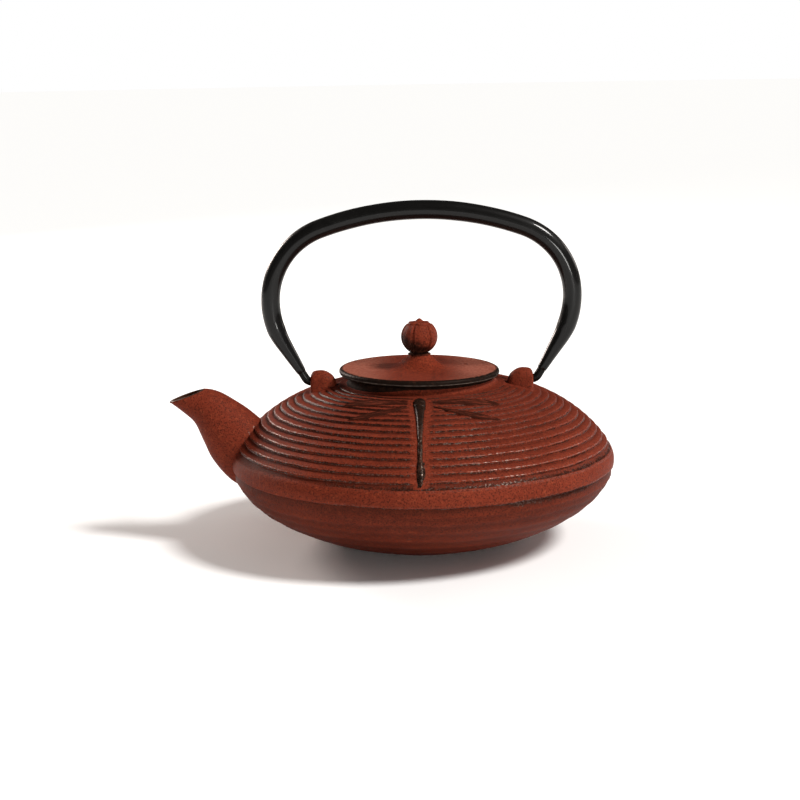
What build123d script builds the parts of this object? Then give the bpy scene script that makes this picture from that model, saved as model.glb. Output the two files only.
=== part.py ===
from build123d import *
import math
import os

# Flat cast-iron teapot with a spout, a lift-off lid, a swinging bail handle and a steel infuser.
# Origin: centre of the flat foot. +Z is up, the spout points along -X, sizes are in millimetres.

# Driving dimensions of the pot
BODY_RADIUS = 87.5
WALL = 3.0
FOOT_RADIUS = 33.0
FLOOR_THICKNESS = 3.2

# Upper skin: height = UPPER_BASE + UPPER_RISE * (1 - (r / BODY_RADIUS) ** UPPER_POWER) ** UPPER_ROUND
UPPER_BASE = 40.2
UPPER_RISE = 34.65
UPPER_POWER = 3.12
UPPER_ROUND = 0.80

# Lower skin: height = LOWER_TOP - LOWER_DROP * (1 - (r / LOWER_RADIUS) ** LOWER_POWER) ** LOWER_ROUND
LOWER_RADIUS = 87.87
LOWER_TOP = 39.65
LOWER_DROP = 43.73
LOWER_POWER = 1.592
LOWER_ROUND = 0.4617

# Smooth band round the equator, standing proud of a groove above it and one below it
BAND_BOTTOM = 35.2
BAND_TOP = 43.9
BAND_EDGE_RADIUS = 87.2
BAND_TOP_RADIUS = 86.0
BAND_BULGE_DROP = 0.6
GROOVE_DEPTH = 0.9

# Neck and mouth
NECK_RADIUS = 33.0
NECK_TOP = 76.2
SEAT_RADIUS = 30.8
SEAT_DEPTH = 1.2
MOUTH_RADIUS = 29.2

# Spout stations from root to lip: top point (x, z), bottom point (x, z) and half width
SPOUT_STATIONS = (
    ((-70.0, 52.5), (-79.0, 23.5), 15.5),
    ((-79.5, 61.0), (-88.5, 28.6), 14.6),
    ((-86.3, 65.8), (-96.5, 38.0), 12.8),
    ((-91.5, 69.0), (-100.6, 46.8), 10.8),
    ((-95.5, 70.6), (-104.5, 55.6), 8.9),
    ((-98.0, 71.1), (-109.5, 60.4), 7.3),
    ((-99.6, 71.2), (-116.1, 65.6), 6.2),
)
SPOUT_ROOT_WALL = 3.4
SPOUT_LIP_WALL = 1.7
CUT_OVERRUN = 0.5

# Lugs that carry the handle's pins
PIVOT_HEIGHT = 73.8
LUG_OUTER = 50.8
LUG_INNER = 39.0
LUG_TOP = 79.2
LUG_BOTTOM = 66.0
LUG_FLAT_OUTER = 48.0
LUG_FLAT_INNER = 44.8
LUG_OUTER_CORNER = 3.4
LUG_INNER_CORNER = 5.6
LUG_HALF_WIDTH = 4.6
LUG_BASE_HALF_WIDTH = 7.0
PIN_RADIUS = 1.8
PIN_CLEARANCE = 0.2
PIN_END = 39.6

# Bail handle: hollow tube, its centre line made of tangent arcs
CROWN_HEIGHT = 151.6
CROWN_RADIUS = 135.5
CROWN_ANGLE = 19.8
HANDLE_HALF_SPAN = 68.4
LEG_BEND_RADIUS = 38.0
LEG_ANGLE = 30.8
TUBE_RADIUS = 4.3
CROWN_STEPS = 3
SHOULDER_STEPS = 5
LEG_BEND_STEPS = 4
TUBE_TIP_RADIUS = 2.4
TUBE_WALL = 0.9
TUBE_TIP_HEIGHT = 80.8
TAPER_START_HEIGHT = 98.0
HOOK_TOP_HEIGHT = 90.0
HOOK_BEND_RADIUS = 2.2
HOOK_GAP = 0.03

# Lid
LID_RADIUS = 36.6
LID_TOP = 79.2
RIM_ROUND_BELOW = 1.3
RIM_ROUND_ABOVE = 1.9
LID_DISH = ((22.0, 78.6), (13.0, 79.4), (8.8, 81.6))
LID_SKIRT_OUTER = 27.3
LID_SKIRT_INNER = 25.4
LID_SKIRT_BOTTOM = 72.4
BOSS_TOP = 85.2
BOSS_TOP_RADIUS = 5.4
VENT_RADIUS = 0.9
VENT_DISTANCE = 23.5
VENT_ANGLE = 30.0

# Knob, held by a peened stud through the lid
STUD_RADIUS = 2.0
STUD_CLEARANCE = 0.1
COLLAR_RADIUS = 5.2
COLLAR_BULGE = 0.3
COLLAR_TOP_RADIUS = 4.4
COLLAR_TOP = 86.0
BALL_RADIUS = 8.35
BALL_CENTRE = 93.4
BALL_NECK_RADIUS = 4.0
CROWN_RIM_RADIUS = 5.2
BUD_RADIUS = 1.8
BUD_BASE = 100.8
BUD_TIP = 101.9
WASHER_RADIUS = 4.6
WASHER_THICKNESS = 1.0
PEENED_HEAD_RADIUS = 3.2
PEENED_HEAD_HEIGHT = 1.1

# Infuser basket
BASKET_RADIUS = 28.3
BASKET_WALL = 0.4
BASKET_BOTTOM = 35.0
COLLAR_TUBE_RADIUS = 28.5
COLLAR_TUBE_INNER = 27.9
COLLAR_TUBE_BOTTOM = 69.0
FLANGE_RADIUS = 30.5
FLANGE_THICKNESS = 0.8
BASE_CUP_RADIUS = 28.85
BASE_CUP_INNER = 28.35
BASE_CUP_HEIGHT = 4.0
BASE_THICKNESS = 0.6


def upper_height(radius, inset=0.0):
    """Height of the upper skin, or of a surface that lies inset millimetres inside it."""
    share = radius / (BODY_RADIUS - inset)
    return UPPER_BASE + (UPPER_RISE - inset) * (1 - share**UPPER_POWER) ** UPPER_ROUND


def lower_height(radius, inset=0.0):
    """Height of the lower skin, or of a surface that lies inset millimetres inside it."""
    share = radius / (LOWER_RADIUS - inset)
    return LOWER_TOP - (LOWER_DROP - inset) * (1 - share**LOWER_POWER) ** LOWER_ROUND


def skin_curve(height, start_radius, end_radius, inset=0.0, spans=8):
    """Smooth curve over a skin, with its points closer together where the skin is steep."""
    full = LOWER_RADIUS - inset
    start = math.asin(start_radius / full)
    end = math.asin(end_radius / full)
    radii = [full * math.sin(start + (end - start) * i / spans) for i in range(spans + 1)]
    return Spline([(radius, height(radius, inset)) for radius in radii])


def revolved(*curves):
    """Solid of revolution about the vertical axis of an outline drawn as (radius, height)."""
    return revolve(Plane.XZ * make_face(Curve() + list(curves)), Axis.Z)


def body_of_revolution():
    """The pot's outside, filled solid: foot, lower skin, band, upper skin and neck."""
    lower_end_radius = BAND_EDGE_RADIUS - GROOVE_DEPTH
    lower_end = (lower_end_radius, lower_height(lower_end_radius))
    upper_start_radius = BAND_TOP_RADIUS - GROOVE_DEPTH
    upper_start = (upper_start_radius, upper_height(upper_start_radius))
    foot_edge = (FOOT_RADIUS, lower_height(FOOT_RADIUS))
    neck_base = (NECK_RADIUS, upper_height(NECK_RADIUS))
    band_bottom = (BAND_EDGE_RADIUS, BAND_BOTTOM)
    band_middle = (BODY_RADIUS, (BAND_BOTTOM + BAND_TOP) / 2 - BAND_BULGE_DROP)
    band_top = (BAND_TOP_RADIUS, BAND_TOP)
    return revolved(
        Polyline((0, 0), (FOOT_RADIUS, 0), foot_edge),
        skin_curve(lower_height, FOOT_RADIUS, lower_end_radius),
        Polyline(lower_end, (lower_end_radius, BAND_BOTTOM), band_bottom),
        ThreePointArc(band_bottom, band_middle, band_top),
        Polyline(band_top, (upper_start_radius, BAND_TOP), upper_start),
        skin_curve(upper_height, upper_start_radius, NECK_RADIUS),
        Polyline(neck_base, (NECK_RADIUS, NECK_TOP), (0, NECK_TOP), (0, 0)),
    )


def cavity():
    """Inside of the pot, with the mouth and the infuser's seat."""
    inner_radius = BODY_RADIUS - WALL
    floor_share = 1 - ((LOWER_TOP - FLOOR_THICKNESS) / (LOWER_DROP - WALL)) ** (1 / LOWER_ROUND)
    floor_radius = (LOWER_RADIUS - WALL) * floor_share ** (1 / LOWER_POWER)
    seat_height = NECK_TOP - SEAT_DEPTH
    return revolved(
        Line((0, FLOOR_THICKNESS), (floor_radius, FLOOR_THICKNESS)),
        skin_curve(lower_height, floor_radius, inner_radius, WALL),
        Line((inner_radius, lower_height(inner_radius, WALL)), (inner_radius, UPPER_BASE)),
        skin_curve(upper_height, inner_radius, MOUTH_RADIUS, WALL),
        Polyline(
            (MOUTH_RADIUS, upper_height(MOUTH_RADIUS, WALL)),
            (MOUTH_RADIUS, seat_height),
            (SEAT_RADIUS, seat_height),
            (SEAT_RADIUS, NECK_TOP + CUT_OVERRUN),
            (0, NECK_TOP + CUT_OVERRUN),
            (0, FLOOR_THICKNESS),
        ),
    )


def spout_section(top, bottom, half_width, wall=0.0, overrun=0.0):
    """Elliptical section between a top and a bottom point, shrunk by wall and pushed out by overrun."""
    rise = Vector(top[0] - bottom[0], 0, top[1] - bottom[1])
    half_height = rise.length / 2
    centre = Vector((top[0] + bottom[0]) / 2, 0, (top[1] + bottom[1]) / 2)
    outward = rise.normalized().cross(Vector(0, 1, 0))
    plane = Plane(origin=centre + outward * overrun, x_dir=rise, z_dir=outward)
    return plane * Ellipse(half_height - wall, half_width - wall)


def spout():
    return loft([spout_section(*station) for station in SPOUT_STATIONS])


def spout_bore():
    last = len(SPOUT_STATIONS) - 1
    sections = []
    for i, station in enumerate(SPOUT_STATIONS):
        wall = SPOUT_ROOT_WALL + (SPOUT_LIP_WALL - SPOUT_ROOT_WALL) * i / last
        overrun = CUT_OVERRUN if i == last else 0.0
        sections.append(spout_section(*station, wall, overrun))
    return loft(sections)


def lug(side):
    """Rounded ear on the shoulder; side is -1 at the spout and +1 at the rear."""
    outer_corner = (LUG_OUTER, LUG_TOP - LUG_OUTER_CORNER)
    flat_outer = (LUG_FLAT_OUTER, LUG_TOP)
    flat_inner = (LUG_FLAT_INNER, LUG_TOP)
    inner_corner = (LUG_INNER, LUG_TOP - LUG_INNER_CORNER)
    outline = Curve() + [
        Polyline((LUG_INNER, LUG_BOTTOM), (LUG_OUTER, LUG_BOTTOM), outer_corner),
        TangentArc(flat_outer, outer_corner, tangent=(1, 0)),
        Line(flat_outer, flat_inner),
        TangentArc(flat_inner, inner_corner, tangent=(-1, 0)),
        Line(inner_corner, (LUG_INNER, LUG_BOTTOM)),
    ]
    side_view = extrude(Plane.XZ * make_face(outline), LUG_BASE_HALF_WIDTH, both=True)
    arch_start = LUG_TOP - LUG_HALF_WIDTH
    arch_outline = Curve() + [
        Line((LUG_BASE_HALF_WIDTH, LUG_BOTTOM), (-LUG_BASE_HALF_WIDTH, LUG_BOTTOM)),
        Line((-LUG_BASE_HALF_WIDTH, LUG_BOTTOM), (-LUG_HALF_WIDTH, arch_start)),
        ThreePointArc((-LUG_HALF_WIDTH, arch_start), (0, LUG_TOP), (LUG_HALF_WIDTH, arch_start)),
        Line((LUG_HALF_WIDTH, arch_start), (LUG_BASE_HALF_WIDTH, LUG_BOTTOM)),
    ]
    front_view = extrude(Plane.YZ * make_face(arch_outline), LUG_OUTER + CUT_OVERRUN)
    ear = side_view & front_view
    return ear if side > 0 else mirror(ear, Plane.YZ)


def pin_hole(side):
    """Hole for one pin, long enough to clear the shoulder under the pin's inner end too."""
    inner = PIN_END - CUT_OVERRUN
    length = LUG_OUTER + CUT_OVERRUN - inner
    hole = Plane.YZ.offset(inner) * extrude(Circle(PIN_RADIUS + PIN_CLEARANCE), length)
    hole = Pos(0, 0, PIVOT_HEIGHT) * hole
    return hole if side > 0 else mirror(hole, Plane.YZ)


def pot_body():
    casting = body_of_revolution() + spout() + lug(-1) + lug(1)
    return casting - cavity() - spout_bore() - pin_hole(-1) - pin_hole(1)


def handle_stations():
    """Half of the bail's centre line from crown to tube tip: (x, z), heading and tube radius."""
    crown_angle = math.radians(CROWN_ANGLE)
    crown_centre = CROWN_HEIGHT - CROWN_RADIUS
    crown_share = math.sin(crown_angle)
    shoulder_radius = (HANDLE_HALF_SPAN - CROWN_RADIUS * crown_share) / (1 - crown_share)
    widest_height = crown_centre + (CROWN_RADIUS - shoulder_radius) * math.cos(crown_angle)
    shoulder_centre = (HANDLE_HALF_SPAN - shoulder_radius, widest_height)
    leg_bend_centre = (HANDLE_HALF_SPAN - LEG_BEND_RADIUS, widest_height)
    arcs = (
        ((0.0, crown_centre), CROWN_RADIUS, 0.0, CROWN_ANGLE, CROWN_STEPS),
        (shoulder_centre, shoulder_radius, CROWN_ANGLE, 90.0, SHOULDER_STEPS),
        (leg_bend_centre, LEG_BEND_RADIUS, 90.0, 90.0 + LEG_ANGLE, LEG_BEND_STEPS),
    )
    points = []
    for centre, radius, start, end, steps in arcs:
        for step in range(steps):
            angle = math.radians(start + (end - start) * step / steps)
            x = centre[0] + radius * math.sin(angle)
            z = centre[1] + radius * math.cos(angle)
            points.append((x, z, angle))
    leg_angle = math.radians(90.0 + LEG_ANGLE)
    leg_x, leg_z = leg_start(widest_height)
    for height in (leg_z, (leg_z + TUBE_TIP_HEIGHT) / 2, TUBE_TIP_HEIGHT):
        x = leg_x - (leg_z - height) * math.tan(math.radians(LEG_ANGLE))
        points.append((x, height, leg_angle))
    return points


def leg_start(widest_height):
    """Where the bail's straight leg begins, at the lower end of its bend."""
    leg_angle = math.radians(LEG_ANGLE)
    x = HANDLE_HALF_SPAN - LEG_BEND_RADIUS * (1 - math.cos(leg_angle))
    return x, widest_height - LEG_BEND_RADIUS * math.sin(leg_angle)


def tube_radius(height):
    """The tube is even as far as TAPER_START_HEIGHT and swaged down to its tip."""
    share = max(0.0, (TAPER_START_HEIGHT - height) / (TAPER_START_HEIGHT - TUBE_TIP_HEIGHT))
    return TUBE_RADIUS + (TUBE_TIP_RADIUS - TUBE_RADIUS) * share


def handle_tube():
    """Hollow bail from one swaged tip to the other."""
    half = handle_stations()
    whole = [(-x, z, -angle) for x, z, angle in reversed(half[1:])] + half
    skins = []
    for is_bore in (False, True):
        sections = []
        for x, z, angle in whole:
            radius = tube_radius(z)
            if is_bore:
                share = (radius - TUBE_TIP_RADIUS) / (TUBE_RADIUS - TUBE_TIP_RADIUS)
                tip_wall = TUBE_TIP_RADIUS - PIN_RADIUS - HOOK_GAP
                radius -= tip_wall + (TUBE_WALL - tip_wall) * share
            heading = Vector(math.cos(angle), 0, -math.sin(angle))
            plane = Plane(origin=(x, 0, z), x_dir=(0, 1, 0), z_dir=heading)
            sections.append(plane * Circle(radius))
        skins.append(loft(sections))
    return skins[0] - skins[1]


def handle_hook(side):
    """Solid rod that leaves the tube's tip and turns inwards through the lug."""
    tip_x, tip_z, _ = handle_stations()[-1]
    slope = math.tan(math.radians(LEG_ANGLE))
    corner_x = tip_x - (tip_z - PIVOT_HEIGHT) * slope
    top = (corner_x + (HOOK_TOP_HEIGHT - PIVOT_HEIGHT) * slope, HOOK_TOP_HEIGHT)
    corner = (corner_x, PIVOT_HEIGHT)
    route = FilletPolyline(top, corner, (PIN_END, PIVOT_HEIGHT), radius=HOOK_BEND_RADIUS)
    route = Plane.XZ * route
    rod = sweep(Plane(route @ 0, z_dir=route % 0) * Circle(PIN_RADIUS), path=route)
    return rod if side > 0 else mirror(rod, Plane.YZ)


def lid_plate():
    """Dished plate with a rolled rim, a conical boss, a locating skirt and a steam vent."""
    bore = STUD_RADIUS + STUD_CLEARANCE
    rim_low = (LID_RADIUS - RIM_ROUND_BELOW, NECK_TOP)
    rim_high = (LID_RADIUS - RIM_ROUND_ABOVE, LID_TOP)
    rim_side = (LID_RADIUS, (NECK_TOP + LID_TOP) / 2)
    plate = revolved(
        Polyline(
            (bore, BOSS_TOP),
            (bore, NECK_TOP),
            (LID_SKIRT_INNER, NECK_TOP),
            (LID_SKIRT_INNER, LID_SKIRT_BOTTOM),
            (LID_SKIRT_OUTER, LID_SKIRT_BOTTOM),
            (LID_SKIRT_OUTER, NECK_TOP),
            rim_low,
        ),
        ThreePointArc(rim_low, rim_side, rim_high),
        Spline([rim_high, *LID_DISH, (BOSS_TOP_RADIUS, BOSS_TOP)]),
        Line((BOSS_TOP_RADIUS, BOSS_TOP), (bore, BOSS_TOP)),
    )
    angle = math.radians(VENT_ANGLE)
    vent = Cylinder(VENT_RADIUS, 2 * (LID_TOP - NECK_TOP))
    return plate - Pos(VENT_DISTANCE * math.cos(angle), VENT_DISTANCE * math.sin(angle), NECK_TOP) * vent


def lid_knob():
    """Ball knob on a collar, in one piece with the stud that is peened under the washer."""
    head_top = NECK_TOP - WASHER_THICKNESS
    head_bottom = head_top - PEENED_HEAD_HEIGHT
    ball_start = BALL_CENTRE - math.sqrt(BALL_RADIUS**2 - BALL_NECK_RADIUS**2)
    ball_end = BALL_CENTRE + math.sqrt(BALL_RADIUS**2 - CROWN_RIM_RADIUS**2)
    head_edge = (PEENED_HEAD_RADIUS, head_top)
    collar_bottom = (COLLAR_RADIUS, BOSS_TOP)
    collar_middle = (COLLAR_RADIUS + COLLAR_BULGE, (BOSS_TOP + COLLAR_TOP) / 2)
    collar_top = (COLLAR_TOP_RADIUS, COLLAR_TOP)
    ball_widest = (BALL_RADIUS, BALL_CENTRE)
    return revolved(
        Line((0, BUD_TIP), (0, head_bottom)),
        TangentArc((0, head_bottom), head_edge, tangent=(1, 0)),
        Polyline(
            head_edge,
            (STUD_RADIUS, head_top),
            (STUD_RADIUS, BOSS_TOP),
            collar_bottom,
        ),
        ThreePointArc(collar_bottom, collar_middle, collar_top),
        Line(collar_top, (BALL_NECK_RADIUS, ball_start)),
        ThreePointArc((BALL_NECK_RADIUS, ball_start), ball_widest, (CROWN_RIM_RADIUS, ball_end)),
        Polyline((CROWN_RIM_RADIUS, ball_end), (BUD_RADIUS, BUD_BASE), (0, BUD_TIP)),
    )


def tube_between(inner, outer, low, high):
    """Plain vertical tube, or a washer when it is short."""
    ring = Circle(outer) - Circle(inner)
    return Pos(0, 0, low) * extrude(ring, high - low)


def knob_washer():
    bore = STUD_RADIUS + STUD_CLEARANCE
    return tube_between(bore, WASHER_RADIUS, NECK_TOP - WASHER_THICKNESS, NECK_TOP)


def infuser_collar():
    """Flange that hangs on the mouth's seat, with the short tube that carries the mesh."""
    seat = NECK_TOP - SEAT_DEPTH
    flange = tube_between(COLLAR_TUBE_INNER, FLANGE_RADIUS, seat, seat + FLANGE_THICKNESS)
    return flange + tube_between(COLLAR_TUBE_INNER, COLLAR_TUBE_RADIUS, COLLAR_TUBE_BOTTOM, seat)


def infuser_mesh():
    low = BASKET_BOTTOM + BASE_THICKNESS
    return tube_between(BASKET_RADIUS - BASKET_WALL, BASKET_RADIUS, low, COLLAR_TUBE_BOTTOM)


def infuser_base():
    """Shallow cup that closes the mesh at the bottom."""
    plate = Pos(0, 0, BASKET_BOTTOM) * extrude(Circle(BASE_CUP_RADIUS), BASE_THICKNESS)
    wall_low = BASKET_BOTTOM + BASE_THICKNESS
    return plate + tube_between(BASE_CUP_INNER, BASE_CUP_RADIUS, wall_low, BASKET_BOTTOM + BASE_CUP_HEIGHT)


def main():
    parts = {
        "pot_body": pot_body(),
        "lid_plate": lid_plate(),
        "lid_knob": lid_knob(),
        "knob_washer": knob_washer(),
        "handle_tube": handle_tube(),
        "handle_hook_spout_side": handle_hook(-1),
        "handle_hook_rear_side": handle_hook(1),
        "infuser_collar": infuser_collar(),
        "infuser_mesh": infuser_mesh(),
        "infuser_base": infuser_base(),
    }
    os.makedirs("parts", exist_ok=True)
    for name, part in parts.items():
        export_step(part, f"parts/{name}.step")


main()
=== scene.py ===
import math

import bpy
import numpy as np
from mathutils import Matrix, Vector
from mathutils.kdtree import KDTree


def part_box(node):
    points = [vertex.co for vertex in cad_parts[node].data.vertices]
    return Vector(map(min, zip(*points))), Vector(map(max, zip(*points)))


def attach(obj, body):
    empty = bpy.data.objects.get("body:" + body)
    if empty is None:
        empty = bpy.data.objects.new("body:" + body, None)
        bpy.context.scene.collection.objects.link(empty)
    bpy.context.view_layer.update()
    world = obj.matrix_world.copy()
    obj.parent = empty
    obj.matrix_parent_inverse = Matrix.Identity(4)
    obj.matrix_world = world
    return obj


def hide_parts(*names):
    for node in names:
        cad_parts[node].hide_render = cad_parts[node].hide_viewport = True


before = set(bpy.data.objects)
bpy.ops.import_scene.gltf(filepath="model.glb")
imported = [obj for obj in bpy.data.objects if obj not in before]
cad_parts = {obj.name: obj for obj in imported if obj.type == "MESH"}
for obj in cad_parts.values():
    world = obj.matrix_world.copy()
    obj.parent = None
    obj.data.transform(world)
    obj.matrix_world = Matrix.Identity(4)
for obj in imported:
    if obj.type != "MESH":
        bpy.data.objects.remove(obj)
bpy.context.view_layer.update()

# Cast-iron teapot: red paint over black enamel, rubbed through on the ridges, with a dragonfly in relief.
# Shapes are worked out in millimetres, in the frame's axes (+Z up, spout along -X, camera on the -Y side),
# and turned into metres where a mesh is made.

MM = 0.001
SEED = 7


def box_mm(node):
    """Lowest and highest corner of a CAD node, in millimetres."""
    low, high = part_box(node)
    return low / MM, high / MM


POT_LOW, POT_HIGH = box_mm("pot_body")
LID_LOW, LID_HIGH = box_mm("lid_plate")
KNOB_LOW, KNOB_HIGH = box_mm("lid_knob")
WASHER_LOW, WASHER_HIGH = box_mm("knob_washer")
_, TUBE_HIGH = box_mm("handle_tube")
HOOK_LOW, _ = box_mm("handle_hook_rear_side")
COLLAR_LOW, COLLAR_HIGH = box_mm("infuser_collar")
MESH_LOW, MESH_HIGH = box_mm("infuser_mesh")
BASE_LOW, BASE_HIGH = box_mm("infuser_base")

# Pot skins, as the CAD part draws them, but for the band's top: it is 0.9 lower here, as in the photo
BODY_RADIUS = POT_HIGH.y
WALL = 3.0
FOOT_RADIUS = 33.0
FLOOR_THICKNESS = 3.2
UPPER_BASE = 40.2
UPPER_RISE = 34.65
UPPER_POWER = 3.12
UPPER_ROUND = 0.80
LOWER_RADIUS = BODY_RADIUS + 0.37
LOWER_TOP = 39.65
LOWER_DROP = 43.73
LOWER_POWER = 1.592
LOWER_ROUND = 0.4617
BAND_BOTTOM = 35.2
BAND_TOP = 43.0
BAND_EDGE_RADIUS = 87.2
BAND_TOP_RADIUS = 86.0
GROOVE_DEPTH = 0.9
LOWER_END = BAND_EDGE_RADIUS - GROOVE_DEPTH
LOWER_STEPS = (
    # height of a faint step in the lower skin, and its depth
    (30.4, 0.32),
    (26.2, 0.42),
    (21.6, 0.38),
    (16.8, 0.42),
    (12.0, 0.34),
)
NECK_RADIUS = 33.0
NECK_TOP = WASHER_HIGH.z
SEAT_HEIGHT = NECK_TOP - 1.2
SEAT_RADIUS = 30.8
MOUTH_RADIUS = 29.2
POT_SEGMENTS = 344
CAVITY_SEGMENTS = 160

# Ridges on the shoulder, counted from the band up to the neck
RIDGE_COUNT = 16
RIDGE_PITCH = 3.85
EVEN_RIDGES = 11
PITCH_SHRINK = 0.93
RIDGE_DEPTH = 0.85
RIDGE_CREST = 0.28
RIDGE_STEPS = (0.0, 0.06, 0.12, 0.18, 0.23, 0.28, 0.40, 0.58, 0.80)
LIP_PHASE = 0.13
RIDGE_WOBBLE = 0.26
FAR_FROM_LIP = 1.6

# Dragonfly in relief on the front of the shoulder
FLY_X = -1.1
FLY_HALO = 3.4
FLY_STATIONS = (
    # distance from the pot's axis, half width, height
    (39.6, 0.1, 0.1),
    (40.2, 1.5, 0.9),
    (41.6, 2.4, 1.5),
    (43.6, 2.65, 1.6),
    (44.5, 2.4, 1.15),
    (45.0, 2.55, 1.45),
    (47.2, 2.45, 1.5),
    (48.2, 2.1, 1.05),
    (48.9, 2.2, 1.4),
    (52.0, 1.95, 1.45),
    (57.0, 1.5, 1.35),
    (64.0, 1.2, 1.15),
    (69.3, 0.95, 0.95),
    (70.2, 0.75, 0.6),
    (71.2, 1.0, 1.0),
    (73.5, 1.0, 1.0),
    (76.3, 0.9, 0.95),
    (77.3, 0.7, 0.6),
    (78.3, 1.1, 1.05),
    (80.6, 1.4, 1.2),
    (82.6, 1.4, 1.15),
    (84.2, 0.95, 0.85),
    (85.2, 0.45, 0.5),
    (85.7, 0.1, 0.1),
)
# Each wing: root, leading-edge control points, tip, trailing-edge control points, as (x, distance in front)
WINGS = (
    ((3.6, 43.8), ((12.0, 39.8), (27.0, 33.6)), (34.0, 38.6), ((27.0, 44.8), (12.0, 44.2))),
    ((5.2, 47.6), ((12.0, 49.6), (24.0, 49.8)), (33.8, 51.4), ((26.5, 56.4), (14.0, 53.4))),
    ((-5.2, 43.6), ((-14.0, 39.8), (-28.0, 32.0)), (-34.2, 37.4), ((-28.0, 43.6), (-14.0, 44.2))),
    ((-5.6, 47.4), ((-14.0, 47.8), (-25.0, 48.8)), (-32.4, 50.8), ((-25.0, 54.8), (-14.0, 52.6))),
)
WING_RELIEF = 0.45
WING_VEINS = 3

# Spout stations from root to lip: top point (x, z), bottom point (x, z) and half width
SPOUT_STATIONS = (
    ((-70.0, 52.5), (-79.0, 23.5), 15.5),
    ((-79.5, 61.0), (-88.5, 28.6), 14.6),
    ((-86.3, 65.8), (-96.5, 38.0), 12.8),
    ((-91.5, 69.0), (-100.6, 46.8), 10.8),
    ((-95.5, 70.6), (-104.5, 55.6), 8.9),
    ((-98.0, 71.1), (-109.5, 60.4), 7.3),
    ((-99.6, 71.2), (-116.1, 65.6), 6.2),
)
SPOUT_ROOT_WALL = 3.4
SPOUT_LIP_WALL = 1.7
SPOUT_RINGS = 48
SPOUT_SEGMENTS = 72

# Lugs and the pins through them
PIN_RADIUS = 1.8
PIVOT_HEIGHT = HOOK_LOW.z + PIN_RADIUS
LUG_OUTER = 50.8
LUG_INNER = 39.0
LUG_PEAK = 46.0
LUG_CORNER = 2.0
LUG_TOP = POT_HIGH.z
LUG_BASE = 64.0
LUG_BASE_HALF_WIDTH = 7.0
LUG_HALF_WIDTH = 4.6
PIN_CLEARANCE = 0.2
PIN_END = HOOK_LOW.x
PIN_ROUNDING = 0.9

# Bail handle
TUBE_RADIUS = TUBE_HIGH.y
CROWN_HEIGHT = TUBE_HIGH.z - TUBE_RADIUS
CROWN_RADIUS = 135.5
CROWN_ANGLE = 19.8
HANDLE_HALF_SPAN = 68.4
LEG_BEND_RADIUS = 38.0
LEG_ANGLE = 30.8
HANDLE_LEAN = 0.7
TUBE_TIP_RADIUS = 2.12
TUBE_TIP_HEIGHT = 78.2
TUBE_WAVER = 0.035
TAPER_START_HEIGHT = 98.0
HOOK_TOP_HEIGHT = 88.0
HOOK_BEND_RADIUS = 3.4
ROD_RADIUS = 1.92

# Lid and knob
LID_RADIUS = LID_HIGH.x
LID_TOP = 79.2
BOSS_TOP = LID_HIGH.z
BOSS_TOP_RADIUS = 5.15
STUD_HOLE = 2.1
LID_SHIFT = -1.1
LID_TILT = 0.83
LID_SEGMENTS = 240
LID_UPPER_SKIN = (
    # radius, height, from the rolled rim in to the top of the boss
    (34.3, LID_TOP - 0.06),
    (30.0, 78.92),
    (24.0, 78.66),
    (18.0, 78.7),
    (13.6, 79.15),
    (10.8, 80.1),
    (8.8, 81.5),
    (7.3, 82.9),
    (6.3, 83.8),
    (5.75, 84.25),
    (5.5, 84.55),
    (BOSS_TOP_RADIUS, BOSS_TOP - 0.1),
)
RIM_ROUND = 1.55
SKIRT_INNER = 25.4
SKIRT_OUTER = 27.3
SKIRT_EDGE = 72.8
VENT_DISTANCE = 23.5
VENT_ANGLE = 30.0
VENT_RADIUS = 0.9
COLLAR_TOP = 86.0
BALL_RADIUS = KNOB_HIGH.y
BALL_CENTRE = 93.4
BALL_LOBES = 6
FRONT_LOBE_ANGLE = -82.0
KNOB_SEGMENTS = 216

# Infuser
COLLAR_TUBE_RADIUS = 28.5
COLLAR_BORE_RADIUS = 27.9
MESH_WIRE = 0.14
MESH_WEAVE = 0.13
MESH_UPRIGHTS = 156
MESH_LEVELS = 28

# Floor in millimetres; lens in millimetres; places in metres; the camera's yaw, pitch and roll in degrees
FLOOR_RADIUS = 12000.0
SENSOR_WIDTH = 36.0
FOCAL_LENGTH = 80.8
CAMERA_PLACE = (0.0, -0.808, 0.221)
CAMERA_TURN = (-0.7182, 10.953, 0.9966)
LIGHT_AIM = (0.0, 0.0, 0.06)

rng = np.random.default_rng(SEED)


# ---------------------------------------------------------------- meshes

def smooth_step(value, low, high):
    """Smooth change from 0 to 1 as value goes from low to high."""
    share = np.clip((value - low) / (high - low), 0.0, 1.0)
    return share * share * (3.0 - 2.0 * share)


def add_object(name, data):
    """Object that holds a mesh, a lamp or a camera, put into the scene."""
    made = bpy.data.objects.new(name, data)
    bpy.context.scene.collection.objects.link(made)
    return made


def new_piece(name, vertices, faces):
    """Object with a mesh from millimetre vertices and a list of faces."""
    mesh = bpy.data.meshes.new(name)
    mesh.from_pydata((np.asarray(vertices) * MM).tolist(), [], [list(map(int, face)) for face in faces])
    mesh.update()
    return add_object(name, mesh)


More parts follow.
